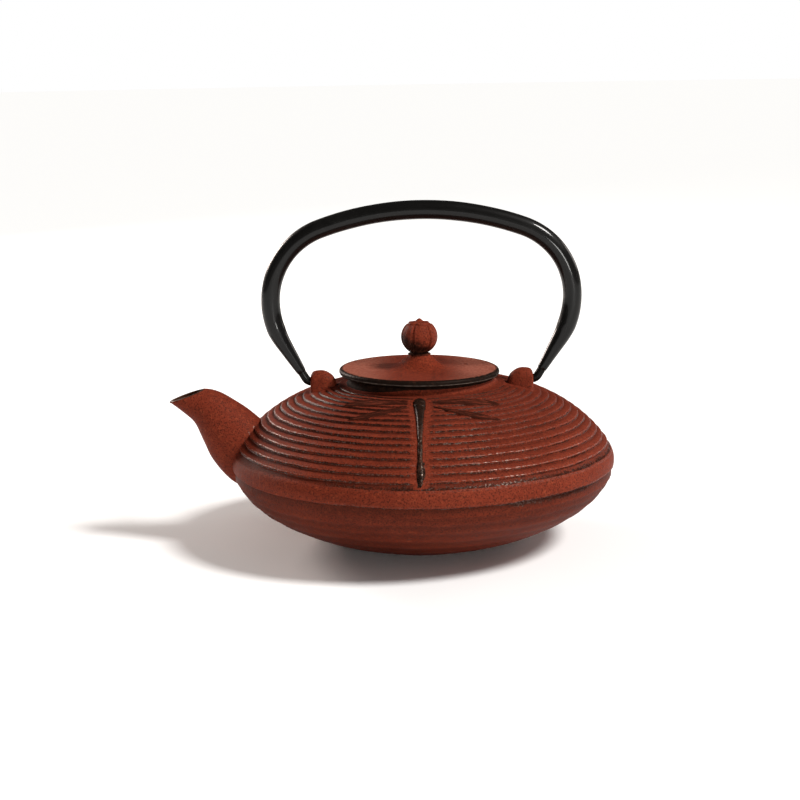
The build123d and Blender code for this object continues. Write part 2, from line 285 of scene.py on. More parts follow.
def closed_surface(rings):
    """Vertices and faces of a closed surface through rings of points, capped at both ends.

    rings is an array of shape (rings, points, 3); each ring closes on itself."""
    rows, columns = rings.shape[:2]
    vertices = np.vstack([rings.reshape(-1, 3), rings[0].mean(0), rings[-1].mean(0)])
    index = np.arange(rows * columns).reshape(rows, columns)
    beside = np.roll(index, -1, axis=1)
    quads = np.stack([index[:-1], beside[:-1], beside[1:], index[1:]], axis=-1).reshape(-1, 4)
    first, last = rows * columns, rows * columns + 1
    start_cap = np.stack([np.full(columns, first), beside[0], index[0]], axis=-1)
    end_cap = np.stack([np.full(columns, last), index[-1], beside[-1]], axis=-1)
    faces = [*quads.tolist(), *start_cap.tolist(), *end_cap.tolist()]
    if signed_volume(vertices, quads, start_cap, end_cap) < 0:
        faces = [face[::-1] for face in faces]
    return vertices, faces


def signed_volume(vertices, quads, *fans):
    triangles = np.vstack([quads[:, [0, 1, 2]], quads[:, [0, 2, 3]], *fans])
    a, b, c = (vertices[triangles[:, i]] for i in range(3))
    return np.einsum("ij,ij->", a, np.cross(b, c)) / 6.0


def circle(count):
    """Angles evenly round a full turn."""
    return np.linspace(0.0, 2.0 * math.pi, count, endpoint=False)


def lathe(radius, height, segments):
    """Rings of points about the vertical axis; radius and height may vary round each ring."""
    angle = circle(segments)
    radius, height = (
        np.broadcast_to(np.asarray(values, float).reshape(len(values), -1), (len(values), segments))
        for values in (radius, height)
    )
    return np.stack([radius * np.cos(angle), radius * np.sin(angle), height], axis=-1)


def cross_ring(x, y, z):
    """Ring of points in a plane across the X axis."""
    return np.stack([np.full_like(y, x), y, z], axis=-1)


def with_caps(values):
    """A per-ring attribute array, with the two cap centres added."""
    values = np.asarray(values, float)
    return np.concatenate([values.reshape(-1), [values[0].mean(), values[-1].mean()]])


def finish_surface(piece, crease):
    """Smooth shading, with creases sharper than crease degrees kept sharp."""
    piece.data.shade_smooth()
    piece.data.set_sharp_from_angle(angle=math.radians(crease))
    return piece


def capped_piece(name, rings, crease):
    """Finished piece through rings, capped at both ends."""
    return finish_surface(new_piece(name, *closed_surface(rings)), crease)


def endless_piece(name, rings):
    """Piece through rings that follow a closed outline, so that the last ring joins the first."""
    rows, columns = rings.shape[:2]
    index = np.arange(rows * columns).reshape(rows, columns)
    beside, above = np.roll(index, -1, axis=1), np.roll(index, -1, axis=0)
    faces = np.stack([index, above, np.roll(above, -1, axis=1), beside], axis=-1).reshape(-1, 4)
    vertices = rings.reshape(-1, 3)
    if signed_volume(vertices, faces) < 0:
        faces = faces[:, ::-1]
    return new_piece(name, vertices, faces)


def turned_piece(name, outline, segments, crease):
    """Finished ring turned from a closed outline of (radius, height) points."""
    radii, heights = np.array(outline).T
    return finish_surface(endless_piece(name, lathe(radii, heights, segments)), crease)


def boolean(target, other, operation):
    """Joins other to target, or cuts it away, and removes other."""
    before = len(target.data.vertices)
    for solver in ("MANIFOLD", "EXACT"):
        modifier = target.modifiers.new("boolean", "BOOLEAN")
        modifier.operation = operation
        modifier.solver = solver
        modifier.object = other
        bpy.context.view_layer.update()
        evaluated = target.evaluated_get(bpy.context.evaluated_depsgraph_get())
        mesh = bpy.data.meshes.new_from_object(evaluated)
        target.modifiers.clear()
        if len(mesh.vertices) > before // 2:
            break
    target.data = mesh
    bpy.data.objects.remove(other)


def coordinates(piece):
    """Vertex positions in millimetres."""
    flat = np.empty(len(piece.data.vertices) * 3)
    piece.data.vertices.foreach_get("co", flat)
    return flat.reshape(-1, 3) / MM


class Marks:
    """Attribute values at the vertices of the solids that make up one casting.

    A boolean makes new vertices, so afterwards each vertex takes the values of the nearest one kept here."""

    # the hollow value marks how deep a ridge or groove lies; the paint also turns it into painted shade,
    # which covers the lower skin too
    REST = {"lip": FAR_FROM_LIP, "hollow": 0.0, "black": 0.0, "vein": 0.0}

    def __init__(self):
        self.points = []
        self.values = []

    def solid(self, name, rings, **values):
        """Closed solid through rings; each attribute is one value or one that varies over the rings."""
        vertices, faces = closed_surface(rings)
        shape = rings.shape[:2]
        columns = [
            with_caps(np.broadcast_to(values.get(key, rest), shape)) for key, rest in self.REST.items()
        ]
        self.points.append(vertices)
        self.values.append(np.stack(columns, axis=-1))
        return new_piece(name, vertices, faces)

    def apply(self, piece):
        """Stores the kept values on the finished casting."""
        points, values = np.vstack(self.points), np.vstack(self.values)
        tree = KDTree(len(points))
        for index, point in enumerate(points):
            tree.insert(point, index)
        tree.balance()
        nearest = [tree.find(point)[1] for point in coordinates(piece)]
        for column, name in enumerate(self.REST):
            layer = piece.data.attributes.new(name, "FLOAT", "POINT")
            layer.data.foreach_set("value", values[nearest, column].astype(np.float32))


# ---------------------------------------------------------------- the pot's casting

def upper_height(radius, inset=0.0):
    share = np.clip(radius / (BODY_RADIUS - inset), 0.0, 1.0)
    return UPPER_BASE + (UPPER_RISE - inset) * (1.0 - share**UPPER_POWER) ** UPPER_ROUND


def lower_height(radius, inset=0.0):
    share = np.clip(radius / (LOWER_RADIUS - inset), 0.0, 1.0)
    return LOWER_TOP - (LOWER_DROP - inset) * (1.0 - share**LOWER_POWER) ** LOWER_ROUND


def wave(angle, size):
    """Uneven hand-made waver round the pot, about size high, from a sum of harmonics."""
    total = np.zeros_like(angle)
    for harmonic in (2, 3, 5, 8, 13, 21, 34, 55, 89):
        total += np.cos(harmonic * angle + rng.uniform(0.0, 2.0 * math.pi)) / harmonic**0.35
    return total * size / 1.6


class UpperSkin:
    """The shoulder, measured by distance up its surface from the band."""

    def __init__(self):
        full = BAND_TOP_RADIUS - GROOVE_DEPTH
        steps = np.linspace(0.0, 1.0, 600)
        self.radius = full - (full - NECK_RADIUS - 1.0) * steps**1.2
        self.height = upper_height(self.radius)
        pieces = np.hypot(np.diff(self.radius), np.diff(self.height))
        self.along = np.concatenate([[0.0], np.cumsum(pieces)])
        run = np.gradient(self.radius, self.along)
        rise = np.gradient(self.height, self.along)
        self.normal_radius, self.normal_height = rise, -run

    def at(self, along):
        """Radius, height and outward normal (radius, height) at distances up the skin."""
        return [np.interp(along, self.along, values) for values in
                (self.radius, self.height, self.normal_radius, self.normal_height)]

    def along_of(self, radius):
        return np.interp(-radius, -self.radius, self.along)


SKIN = UpperSkin()


def ridge_foots():
    """Distances up the skin of each ridge's lower edge, and of the last ridge's upper edge."""
    places = [0.25]
    for ridge in range(RIDGE_COUNT):
        places.append(places[-1] + RIDGE_PITCH * PITCH_SHRINK ** max(0, ridge - EVEN_RIDGES + 1))
    return places


def fly_half_width(radius):
    places, widths, _ = np.array(FLY_STATIONS).T
    return np.interp(radius, places, widths, left=0.0, right=0.0)


def ridge_strength(x, y):
    """How far the ridges stand out at a place: they die away round the dragonfly and the lugs."""
    radius = np.hypot(x, y)
    beside = np.abs(x - FLY_X) - fly_half_width(radius)
    beyond = np.maximum(FLY_STATIONS[0][0] - radius, radius - FLY_STATIONS[-1][0] - 1.0)
    clear = np.maximum(beside, beyond)
    fly = smooth_step(clear, 0.6, FLY_HALO)
    fly = np.where(y < 0, fly, 1.0)
    lug_x = np.abs(np.abs(x) - 0.5 * (LUG_OUTER + LUG_INNER)) - 0.5 * (LUG_OUTER - LUG_INNER)
    lug_y = np.abs(y) - LUG_BASE_HALF_WIDTH
    lug = smooth_step(np.maximum(lug_x, lug_y), -0.5, 2.4)
    return np.minimum(fly, 0.25 + 0.75 * lug)


def shoulder_rings(angle):
    """Place up the skin, depth below it, lip distance and hollow of each ridge ring, from the band up; the
    hollow also sets the painted shade.
    """
    foots = ridge_foots()
    wobbles = [wave(angle, RIDGE_WOBBLE) for _ in foots]
    rows = []
    for ridge in range(RIDGE_COUNT):
        low, high = foots[ridge] + wobbles[ridge], foots[ridge + 1] + wobbles[ridge + 1]
        depth = RIDGE_DEPTH * (1.0 - 0.5 * smooth_step(float(ridge), EVEN_RIDGES - 3.0, RIDGE_COUNT))
        depth = depth * (1.0 + wave(angle, 0.12))
        for phase in RIDGE_STEPS:
            along = low + (high - low) * phase
            if phase < RIDGE_CREST:
                crest = math.sin(math.pi / 2 * phase / RIDGE_CREST)
            else:
                crest = 1.0 - ((phase - RIDGE_CREST) / (1.0 - RIDGE_CREST)) ** 1.5
            lip = np.minimum(np.abs(phase - LIP_PHASE), 1.0 + LIP_PHASE - phase) * (high - low)
            rows.append((along, depth * (1.0 - crest), lip, 1.0 - crest))
    return rows


class PotRings:
    """Rings of the pot's outside, from the middle of its foot up to the middle of its neck."""

    def __init__(self):
        self.angle = circle(POT_SEGMENTS)
        self.rows = []

    def add(self, radius, height, lip=FAR_FROM_LIP, hollow=0.0, black=0.0):
        """One ring; each value is a single number or varies round the ring."""
        values = (radius, height, lip, hollow, black)
        self.rows.append([np.broadcast_to(value, self.angle.shape) for value in values])

    def add_underside(self):
        """Flat foot, and the lower skin with its faint steps; the lower skin gets painted shade, deeper in
        the steps.
        """
        for radius in (4.0, 14.0, 24.0, 31.0, FOOT_RADIUS - 0.3):
            self.add(radius, POT_LOW.z)
        self.add(FOOT_RADIUS, POT_LOW.z + 0.2)
        steps = [(level, wave(self.angle, 0.5), size) for level, size in LOWER_STEPS]
        start, end = math.asin(FOOT_RADIUS / LOWER_RADIUS), math.asin(LOWER_END / LOWER_RADIUS)
        for share in np.linspace(0.0, 1.0, 46):
            radius = LOWER_RADIUS * math.sin(start * (1 - share) + end * share)
            height = lower_height(radius)
            sunk = 0.0
            for level, waver, size in steps:
                above = height - level - waver
                sunk = sunk + size * (1.0 - smooth_step(above, 0.0, 1.0)) * smooth_step(above, -4.5, 0.0)
            self.add(radius - sunk, height, hollow=0.58 + 0.75 * sunk)

    def add_band(self):
        """Groove, the bulging band above it, and the band's upper edge; the groove and the band's upper edge
        get painted shade.
        """
        groove = wave(self.angle, 0.25)
        self.add(LOWER_END, BAND_BOTTOM - 0.7 + groove, 0.7, 1.0)
        self.add(LOWER_END + 0.05, BAND_BOTTOM - 0.2 + groove, 0.2, 1.0)
        self.add(LOWER_END + 0.5, BAND_BOTTOM + 0.05 + groove, 0.0, 0.5)
        self.add(BAND_EDGE_RADIUS - 0.15, BAND_BOTTOM + 0.2 + groove, 0.3, 0.0)
        edge = wave(self.angle, 0.25)
        for share in np.linspace(0.06, 0.94, 9):
            bulge = 4.0 * share * (1.0 - share)
            radius = BAND_EDGE_RADIUS + (BAND_TOP_RADIUS - BAND_EDGE_RADIUS) * share**2 + 0.55 * bulge
            height = BAND_BOTTOM + (BAND_TOP - BAND_BOTTOM) * share + groove * (1.0 - share) + edge * share
            lip = min(share, 1.0 - share) * (BAND_TOP - BAND_BOTTOM) + 0.3
            self.add(min(radius, BODY_RADIUS), height, min(lip, FAR_FROM_LIP))
        self.add(BAND_TOP_RADIUS - 0.1, BAND_TOP - 0.15 + edge, 0.25)
        self.add(BAND_TOP_RADIUS - 0.4, BAND_TOP + 0.05 + edge, 0.0, 0.5)

    def add_shoulder(self):
        """Ridged shoulder, and the smooth skin between its last ridge and the neck."""
        for along, sunk, lip, hollow in shoulder_rings(self.angle):
            radius, height, normal_radius, normal_height = SKIN.at(along)
            strength = ridge_strength(radius * np.cos(self.angle), radius * np.sin(self.angle))
            sunk = sunk * strength + 0.35 * RIDGE_DEPTH * (1.0 - strength)
            lip = FAR_FROM_LIP + (np.minimum(lip, FAR_FROM_LIP) - FAR_FROM_LIP) * strength
            self.add(radius - sunk * normal_radius, height - sunk * normal_height, lip, hollow * strength)
        for along in np.linspace(ridge_foots()[-1] + 1.0, SKIN.along_of(36.4), 3):
            radius, height, normal_radius, normal_height = SKIN.at(along)
            self.add(radius - 0.3 * normal_radius, height - 0.3 * normal_height)

    def add_neck(self):
        """Hollowed foot of the neck, the neck and its top; black enamel shows lower on the spout's side, and
        there the black is also painted shade under the lid's rim.
        """
        sprayed_and_lit = smooth_step(NECK_RADIUS * np.cos(self.angle), -30.0, 6.0)
        for step in range(7):
            turn = math.radians(15.0 * step)
            radius = NECK_RADIUS + 3.0 * (1 - math.sin(turn))
            height = upper_height(36.0) - 0.35 + 2.2 * (1 - math.cos(turn))
            self.add(radius, height, black=smooth_step(step, 1.0 + 6.0 * sprayed_and_lit, 3.0 + 6.0 * sprayed_and_lit))
        # a dark line just under the lid's rim: black enamel, and painted shade as well
        self.add(NECK_RADIUS, NECK_TOP - 0.8, black=1.0 - 0.3 * sprayed_and_lit)
        self.add(NECK_RADIUS, NECK_TOP - 0.5, black=1.0)
        for radius in (NECK_RADIUS - 0.5, SEAT_RADIUS - 6.0, 4.0):
            self.add(radius, NECK_TOP, black=1.0)


def pot_shell(marks):
    """The pot's outside, filled solid, with its ridges, band and neck."""
    rings = PotRings()
    rings.add_underside()
    rings.add_band()
    rings.add_shoulder()
    rings.add_neck()
    radii, heights, lips, hollows, blacks = np.array(rings.rows).transpose(1, 0, 2)
    shell = lathe(radii, heights, POT_SEGMENTS)
    return marks.solid("pot_body_casting", shell, lip=lips, hollow=hollows, black=blacks)


def cavity_solid(marks):
    """The space inside the pot, with the mouth and the infuser's seat."""
    lower, upper = LOWER_RADIUS - WALL, BODY_RADIUS - WALL
    floor_share = 1.0 - ((LOWER_TOP - FLOOR_THICKNESS) / (LOWER_DROP - WALL)) ** (1.0 / LOWER_ROUND)
    floor_radius = lower * floor_share ** (1.0 / LOWER_POWER)
    outline = [(4.0, FLOOR_THICKNESS), (0.7 * floor_radius, FLOOR_THICKNESS)]
    for turn in np.linspace(math.asin(floor_radius / lower), math.asin(upper / lower), 18):
        radius = lower * math.sin(turn)
        outline.append((radius, lower_height(radius, WALL)))
    for turn in np.linspace(math.pi / 2, math.asin(MOUTH_RADIUS / upper), 18):
        radius = upper * math.sin(turn)
        outline.append((radius, upper_height(radius, WALL)))
    outline += [
        (MOUTH_RADIUS, SEAT_HEIGHT - 0.3),
        (MOUTH_RADIUS + 0.3, SEAT_HEIGHT),
        (SEAT_RADIUS, SEAT_HEIGHT),
        (SEAT_RADIUS, NECK_TOP - 0.3),
        (SEAT_RADIUS + 0.3, NECK_TOP),
        (SEAT_RADIUS + 0.3, NECK_TOP + 2.0),
        (4.0, NECK_TOP + 2.0),
    ]
    radii, heights = np.array(outline).T
    return marks.solid("cavity", lathe(radii, heights, CAVITY_SEGMENTS), black=1.0)


def through(points, count):
    """Catmull-Rom curve through rows of numbers, sampled evenly from first row to last."""
    points = np.asarray(points, float)
    padded = np.vstack([2 * points[0] - points[1], points, 2 * points[-1] - points[-2]])
    samples = []
    for place in np.linspace(0.0, len(points) - 1.0, count):
        span = min(int(place), len(points) - 2)
        t = place - span
        p0, p1, p2, p3 = padded[span:span + 4]
        samples.append(0.5 * (2 * p1 + (p2 - p0) * t + (2 * p0 - 5 * p1 + 4 * p2 - p3) * t**2
                              + (3 * p1 - p0 - 3 * p2 + p3) * t**3))
    return np.array(samples)


def spout_sections():
    """Smooth sections of the spout: top (x, z), bottom (x, z) and half width."""
    return through([(*top, *bottom, half_width) for top, bottom, half_width in SPOUT_STATIONS], SPOUT_RINGS)


def spout_ring(section, wall, push=0.0):
    """Elliptical ring of one section, wall millimetres inside it and pushed along the spout."""
    top, bottom = np.array([section[0], 0.0, section[1]]), np.array([section[2], 0.0, section[3]])
    centre, up = (top + bottom) / 2, (top - bottom) / 2
    reach = np.linalg.norm(up)
    up = up / reach
    across = np.array([0.0, 1.0, 0.0])
    outward = np.cross(up, across)
    angle = circle(SPOUT_SEGMENTS)[:, None]
    return (centre + outward * push + up * (reach - wall) * np.cos(angle)
            + across * (section[4] - wall) * np.sin(angle))


def spout_solid(marks):
    """Outside of the spout, with a rounded lip where the black shows."""
    sections = spout_sections()
    lip = ((0.0, -0.7), (0.1, -0.35), (0.4, -0.1), (0.8, 0.0))
    rings = [spout_ring(section, 0.0) for section in sections[:-1]]
    rings += [spout_ring(sections[-1], inset, push) for inset, push in lip]
    black = np.zeros((len(rings), 1))
    black[-len(lip):, 0] = (0.0, 0.4, 0.9, 1.0)
    return marks.solid("spout", np.array(rings), black=black)


def spout_bore_solid(marks):
    """Cutter for the spout's bore, flared at the lip."""
    sections = spout_sections()
    walls = np.linspace(SPOUT_ROOT_WALL, SPOUT_LIP_WALL, len(sections))
    rings = [spout_ring(section, wall) for section, wall in zip(sections[:-1], walls)]
    for wall, push in ((SPOUT_LIP_WALL, -0.6), (SPOUT_LIP_WALL - 0.5, 0.1), (SPOUT_LIP_WALL - 0.5, 2.0)):
        rings.append(spout_ring(sections[-1], wall, push))
    return marks.solid("spout_bore", np.array(rings), black=1.0)


def lug_top(x):
    """Height of a lug's rounded top, x millimetres from the pot's axis."""
    past_corner = np.clip(x - (LUG_OUTER - LUG_CORNER), 0.0, LUG_CORNER)
    outer = 0.035 * np.maximum(x - LUG_PEAK, 0.0) ** 2 + LUG_CORNER - np.sqrt(LUG_CORNER**2 - past_corner**2)
    inner = 0.09 * np.maximum(LUG_PEAK - x, 0.0) ** 2
    return LUG_TOP - 0.1 - outer - inner


def lug_arch():
    """A lug's outline across the pot: y, and height as a share of the way from base to top."""
    straight = (LUG_TOP - LUG_HALF_WIDTH - LUG_BASE) / (LUG_TOP - LUG_BASE)
    flank = [(-LUG_BASE_HALF_WIDTH * 1.15, -0.25), (-LUG_BASE_HALF_WIDTH, 0.0), (-5.6, 0.33), (-4.75, 0.55)]
    turns = np.radians(np.linspace(-90.0, 90.0, 17))
    dome = [(LUG_HALF_WIDTH * math.sin(turn), straight + (1 - straight) * math.cos(turn)) for turn in turns]
    return np.array(flank + dome + [(-y, share) for y, share in reversed(flank)]).T


def lug_solid(side, marks):
    """Rounded ear; side is -1 at the spout and +1 at the rear."""
    arch_y, arch_share = lug_arch()
    outer_face = ((0.0, 0.6), (0.12, 0.3), (0.45, 0.1), (1.0, 0.0), (1.5, 0.0))
    places = [(LUG_OUTER - depth, inset) for depth, inset in outer_face]
    places += [(x, 0.0) for x in np.linspace(LUG_OUTER - 2.0, LUG_INNER + 1.5, 12)]
    places += [(LUG_INNER + 0.5, 0.5), (LUG_INNER, 1.4)]
    rings = []
    for x, inset in places:
        top = lug_top(x) - inset
        narrowing = 1.0 - 0.25 * (LUG_TOP - top) / 6.0
        y = np.sign(arch_y) * np.maximum(np.abs(arch_y * narrowing) - inset, 0.0)
        rings.append(cross_ring(side * x, y, LUG_BASE + arch_share * (top - LUG_BASE)))
    rings = np.array(rings)
    edge = smooth_step(side * rings[..., 0], LUG_OUTER - 1.6, LUG_OUTER - 0.5)
    return marks.solid("lug", rings, black=0.42 * edge * (rings[..., 2] > LUG_TOP - 5.0))


def pin_hole_solid(side, marks):
    """Cutter for a lug's pin hole, flared where it leaves the outer face."""
    turn = circle(32)
    radius = PIN_RADIUS + PIN_CLEARANCE
    rings = []
    for x, size in ((LUG_INNER - 1.0, radius), (LUG_INNER + 2.0, radius), (LUG_OUTER - 0.3, radius),
                    (LUG_OUTER + 1.0, radius + 1.0)):
        rings.append(cross_ring(side * x, size * np.cos(turn), PIVOT_HEIGHT + size * np.sin(turn)))
    return marks.solid("pin_hole", np.array(rings), black=0.8)


def on_shoulder(x, forward, lift):
    """Point on the shoulder at plan position (x, -forward), lifted along the skin's normal."""
    radius = np.hypot(x, forward)
    _, height, normal_radius, normal_height = SKIN.at(SKIN.along_of(radius))
    scale = 1.0 + lift * normal_radius / radius
    return np.stack([x * scale, -forward * scale, height + lift * normal_height], axis=-1)


def dragonfly_body(marks):
    """Head, thorax and jointed tail, half sunk in the shoulder."""
    angle = circle(28)
    rings = []
    for place, half_width, height in through(FLY_STATIONS, 5 * (len(FLY_STATIONS) - 1) + 1):
        side = max(half_width, 0.05) * np.cos(angle)
        dome = max(height, 0.05) * np.abs(np.sin(angle)) ** 0.85
        lift = np.where(np.sin(angle) > 0, dome, 1.6 * np.sin(angle)) - 0.25
        rings.append(on_shoulder(FLY_X + side, np.full_like(side, place), lift))
    return marks.solid("dragonfly_body", np.array(rings), black=1.0)


def bezier(start, controls, end, t):
    """Cubic curve between two points; t is an array of shares."""
    p = [np.asarray(point, float) for point in (start, *controls, end)]
    weights = ((1 - t) ** 3, 3 * t * (1 - t) ** 2, 3 * t**2 * (1 - t), t**3)
    return sum(weight[:, None] * point for weight, point in zip(weights, p))


def dragonfly_wing(wing, marks):
    """Leaf-shaped wing in low relief, with a raised rim and veins that fan out from its root."""
    root, leading, tip, trailing = wing
    share = smooth_step(np.linspace(0.0, 1.0, 56), -0.02, 1.02)
    front = bezier(root, leading, tip, share)
    back = bezier(root, trailing[::-1], tip, share)
    across = np.linspace(0.0, 1.0, 27)
    grid = front[:, None, :] * (1 - across[None, :, None]) + back[:, None, :] * across[None, :, None]
    width = np.linalg.norm(front - back, axis=1)[:, None]
    from_edge = np.minimum(across, 1 - across)[None, :] * width
    raised = np.exp(-((from_edge - 0.4) / 0.55) ** 2)
    for line in np.arange(1, WING_VEINS + 1) / (WING_VEINS + 1.0):
        off = np.abs(across[None, :] - line) * width
        raised = np.maximum(raised, 0.9 * np.exp(-(off / 0.4) ** 2) * smooth_step(width, 1.2, 2.6))
    vein = 0.3 + 0.7 * raised
    lift = WING_RELIEF * smooth_step(from_edge, -0.1, 0.35) * (0.35 + 0.65 * vein) - 0.12
    top = on_shoulder(grid[..., 0], grid[..., 1], lift)
    under = on_shoulder(grid[..., 0], grid[..., 1], np.full_like(lift, -1.7))
    rings = np.concatenate([top, under[:, ::-1]], axis=1)
    return marks.solid("dragonfly_wing", rings, vein=np.concatenate([vein, vein[:, ::-1]], axis=1))


def pot_casting():
    """The whole pot in one mesh: shell, spout, lugs and dragonfly, hollowed out."""
    marks = Marks()
    pot = pot_shell(marks)
    added = [spout_solid(marks), *(lug_solid(side, marks) for side in (-1, 1)), dragonfly_body(marks)]
    added += [dragonfly_wing(wing, marks) for wing in WINGS]
    for solid in added:
        boolean(pot, solid, "UNION")
    removed = [cavity_solid(marks), spout_bore_solid(marks)]
    removed += [pin_hole_solid(side, marks) for side in (-1, 1)]
    for solid in removed:
        boolean(pot, solid, "DIFFERENCE")
    marks.apply(pot)
    return finish_surface(pot, 46.0)


# ---------------------------------------------------------------- lid and knob

def as_seated(points):
    """The lid rests a little off the pot's axis and tips down towards the rear; below the neck it is true."""
    slope = math.tan(math.radians(LID_TILT))
    above = smooth_step(points[..., 2], NECK_TOP - 0.5, NECK_TOP)
    moved = points.copy()
    moved[..., 0] += above * (LID_SHIFT + slope * (points[..., 2] - NECK_TOP))
    moved[..., 2] += above * slope * (LID_RADIUS - points[..., 0])
    return moved


def lid_plate():
    """Dished plate with a rolled rim, a conical boss, a locating skirt and a steam vent."""
    outline = [
        (STUD_HOLE, BOSS_TOP - 0.1),
        (STUD_HOLE, NECK_TOP),
        (12.0, NECK_TOP),
        (SKIRT_INNER - 0.5, NECK_TOP),
        (SKIRT_INNER, NECK_TOP - 0.4),
        (SKIRT_INNER, SKIRT_EDGE),
        (SKIRT_INNER + 0.4, LID_LOW.z),
        (SKIRT_OUTER - 0.4, LID_LOW.z),
        (SKIRT_OUTER, SKIRT_EDGE),
        (SKIRT_OUTER, NECK_TOP - 0.3),
        (SKIRT_OUTER + 0.3, NECK_TOP),
        (31.0, NECK_TOP),
        (34.0, NECK_TOP),
    ]
    for turn in np.radians(np.linspace(-80.0, 84.0, 13)):
        height = (NECK_TOP + LID_TOP) / 2 + 0.05 + (LID_TOP - NECK_TOP) / 2 * math.sin(turn)
        outline.append((LID_RADIUS - RIM_ROUND + RIM_ROUND * math.cos(turn), height))
    outline += [tuple(point) for point in through(LID_UPPER_SKIN, 60)]
    outline += [(BOSS_TOP_RADIUS - 0.4, BOSS_TOP), (STUD_HOLE + 0.2, BOSS_TOP)]
    radii, heights = np.array(outline).T
    uneven = wave(circle(LID_SEGMENTS), 0.05) * smooth_step(radii, 26.0, 36.0)[:, None]
    lid = endless_piece("lid_plate_casting", as_seated(lathe(radii[:, None] + uneven, heights, LID_SEGMENTS)))
    boolean(lid, vent_solid(), "DIFFERENCE")
    return finish_surface(lid, 50.0)


def vent_solid():
    """Cutter for the steam vent, flared a little at the lid's upper face."""
    turn, angle = circle(28), math.radians(VENT_ANGLE)
    x, y = VENT_DISTANCE * math.cos(angle), VENT_DISTANCE * math.sin(angle)
    rings = []
    for height, radius in ((NECK_TOP - 1.0, VENT_RADIUS), (LID_TOP - 0.9, VENT_RADIUS), (LID_TOP - 0.5, 1.15),
                           (LID_TOP + 1.0, 1.9)):
        level = np.full_like(turn, height)
        rings.append(np.stack([x + radius * np.cos(turn), y + radius * np.sin(turn), level], axis=-1))
    return new_piece("vent", *closed_surface(np.array(rings)))


def lid_knob():
    """Lobed ball on a collar, with a crown of sepals and a bud, and the peened stud below."""
    angle = circle(KNOB_SEGMENTS)
    from_lobe = angle - math.radians(FRONT_LOBE_ANGLE)
    spacing = 2.0 * math.pi / BALL_LOBES
    seam = np.degrees(np.abs(from_lobe % spacing - spacing / 2))
    ribs = 0.30 * np.exp(-((seam - 7.5) / 2.6) ** 2) - 0.55 * np.exp(-(seam / 3.6) ** 2)
    sepal = np.cos(BALL_LOBES * from_lobe)
    fold = 0.35 * np.cos(2 * BALL_LOBES * from_lobe)

    stud, head_low, head_top = STUD_HOLE - 0.1, KNOB_LOW.z, WASHER_LOW.z
    rings = [
        (0.8, head_low),
        (1.9, head_low + 0.25),
        (2.8, head_low + 0.7),
        (3.2, head_top - 0.1),
        (3.1, head_top),
        (STUD_HOLE, head_top),
        (stud, head_top + 0.1),
        (stud, BOSS_TOP - 0.1),
        (stud, BOSS_TOP + 0.02),
        (4.4, BOSS_TOP + 0.02),
        (4.95, BOSS_TOP + 0.04),
        (5.2, BOSS_TOP + 0.2),
        (5.2, BOSS_TOP + 0.5),
        (4.7, COLLAR_TOP - 0.1),
        (4.1, COLLAR_TOP + 0.05),
    ]
    ball = BALL_RADIUS - 0.3
    start, end = math.asin(3.95 / BALL_RADIUS), math.asin(5.9 / BALL_RADIUS)
    for turn in np.linspace(math.pi - start, end, 34):
        swell = ribs * math.sin(turn) ** 0.6
        rings.append(((ball + swell) * math.sin(turn), BALL_CENTRE + (ball + swell * 0.6) * math.cos(turn)))
    crown = (
        # radius, depth of the sepals, height over the ball's centre, depth of the folds
        (5.35, 0.25, 5.72, 0.0),
        (4.95, 0.35, 5.80, 0.0),
        (4.85, 0.45, 6.25, 0.0),
        (4.55, 0.45, 6.60, 0.0),
        (4.15, 0.35, 6.78, 0.1),
        (3.4, 0.0, 6.80, 0.35),
        (2.6, 0.0, 6.82, 0.3),
        (2.1, 0.0, 6.95, 0.2),
        (1.8, 0.0, 7.20, 0.0),
        (1.45, 0.0, 7.55, 0.0),
        (1.0, 0.0, 7.95, 0.0),
        (0.5, 0.0, 8.3, 0.0),
    )
    for radius, lobes, height, folds in crown:
        rings.append((radius + lobes * sepal, BALL_CENTRE + height + folds * fold))
    rings.append((0.12, KNOB_HIGH.z))
    radii, heights = (
        np.array([np.broadcast_to(value, angle.shape) for value in values]) for values in zip(*rings)
    )
    return capped_piece("lid_knob_casting", as_seated(lathe(radii, heights, KNOB_SEGMENTS)), 50.0)


def knob_washer():
    """Stamped washer with rolled edges."""
    inner, outer = STUD_HOLE, WASHER_HIGH.x
    low, high = WASHER_LOW.z, WASHER_HIGH.z
    outline = (
        (inner, high - 0.15),
        (inner, low + 0.15),
        (inner + 0.15, low),
        (outer - 0.35, low),
        (outer - 0.08, low + 0.14),
        (outer, low + 0.4),
        (outer, high - 0.12),
        (outer - 0.12, high),
        (inner + 0.15, high),
    )
    return turned_piece("knob_washer_steel", outline, 96, 35.0)


# ---------------------------------------------------------------- handle

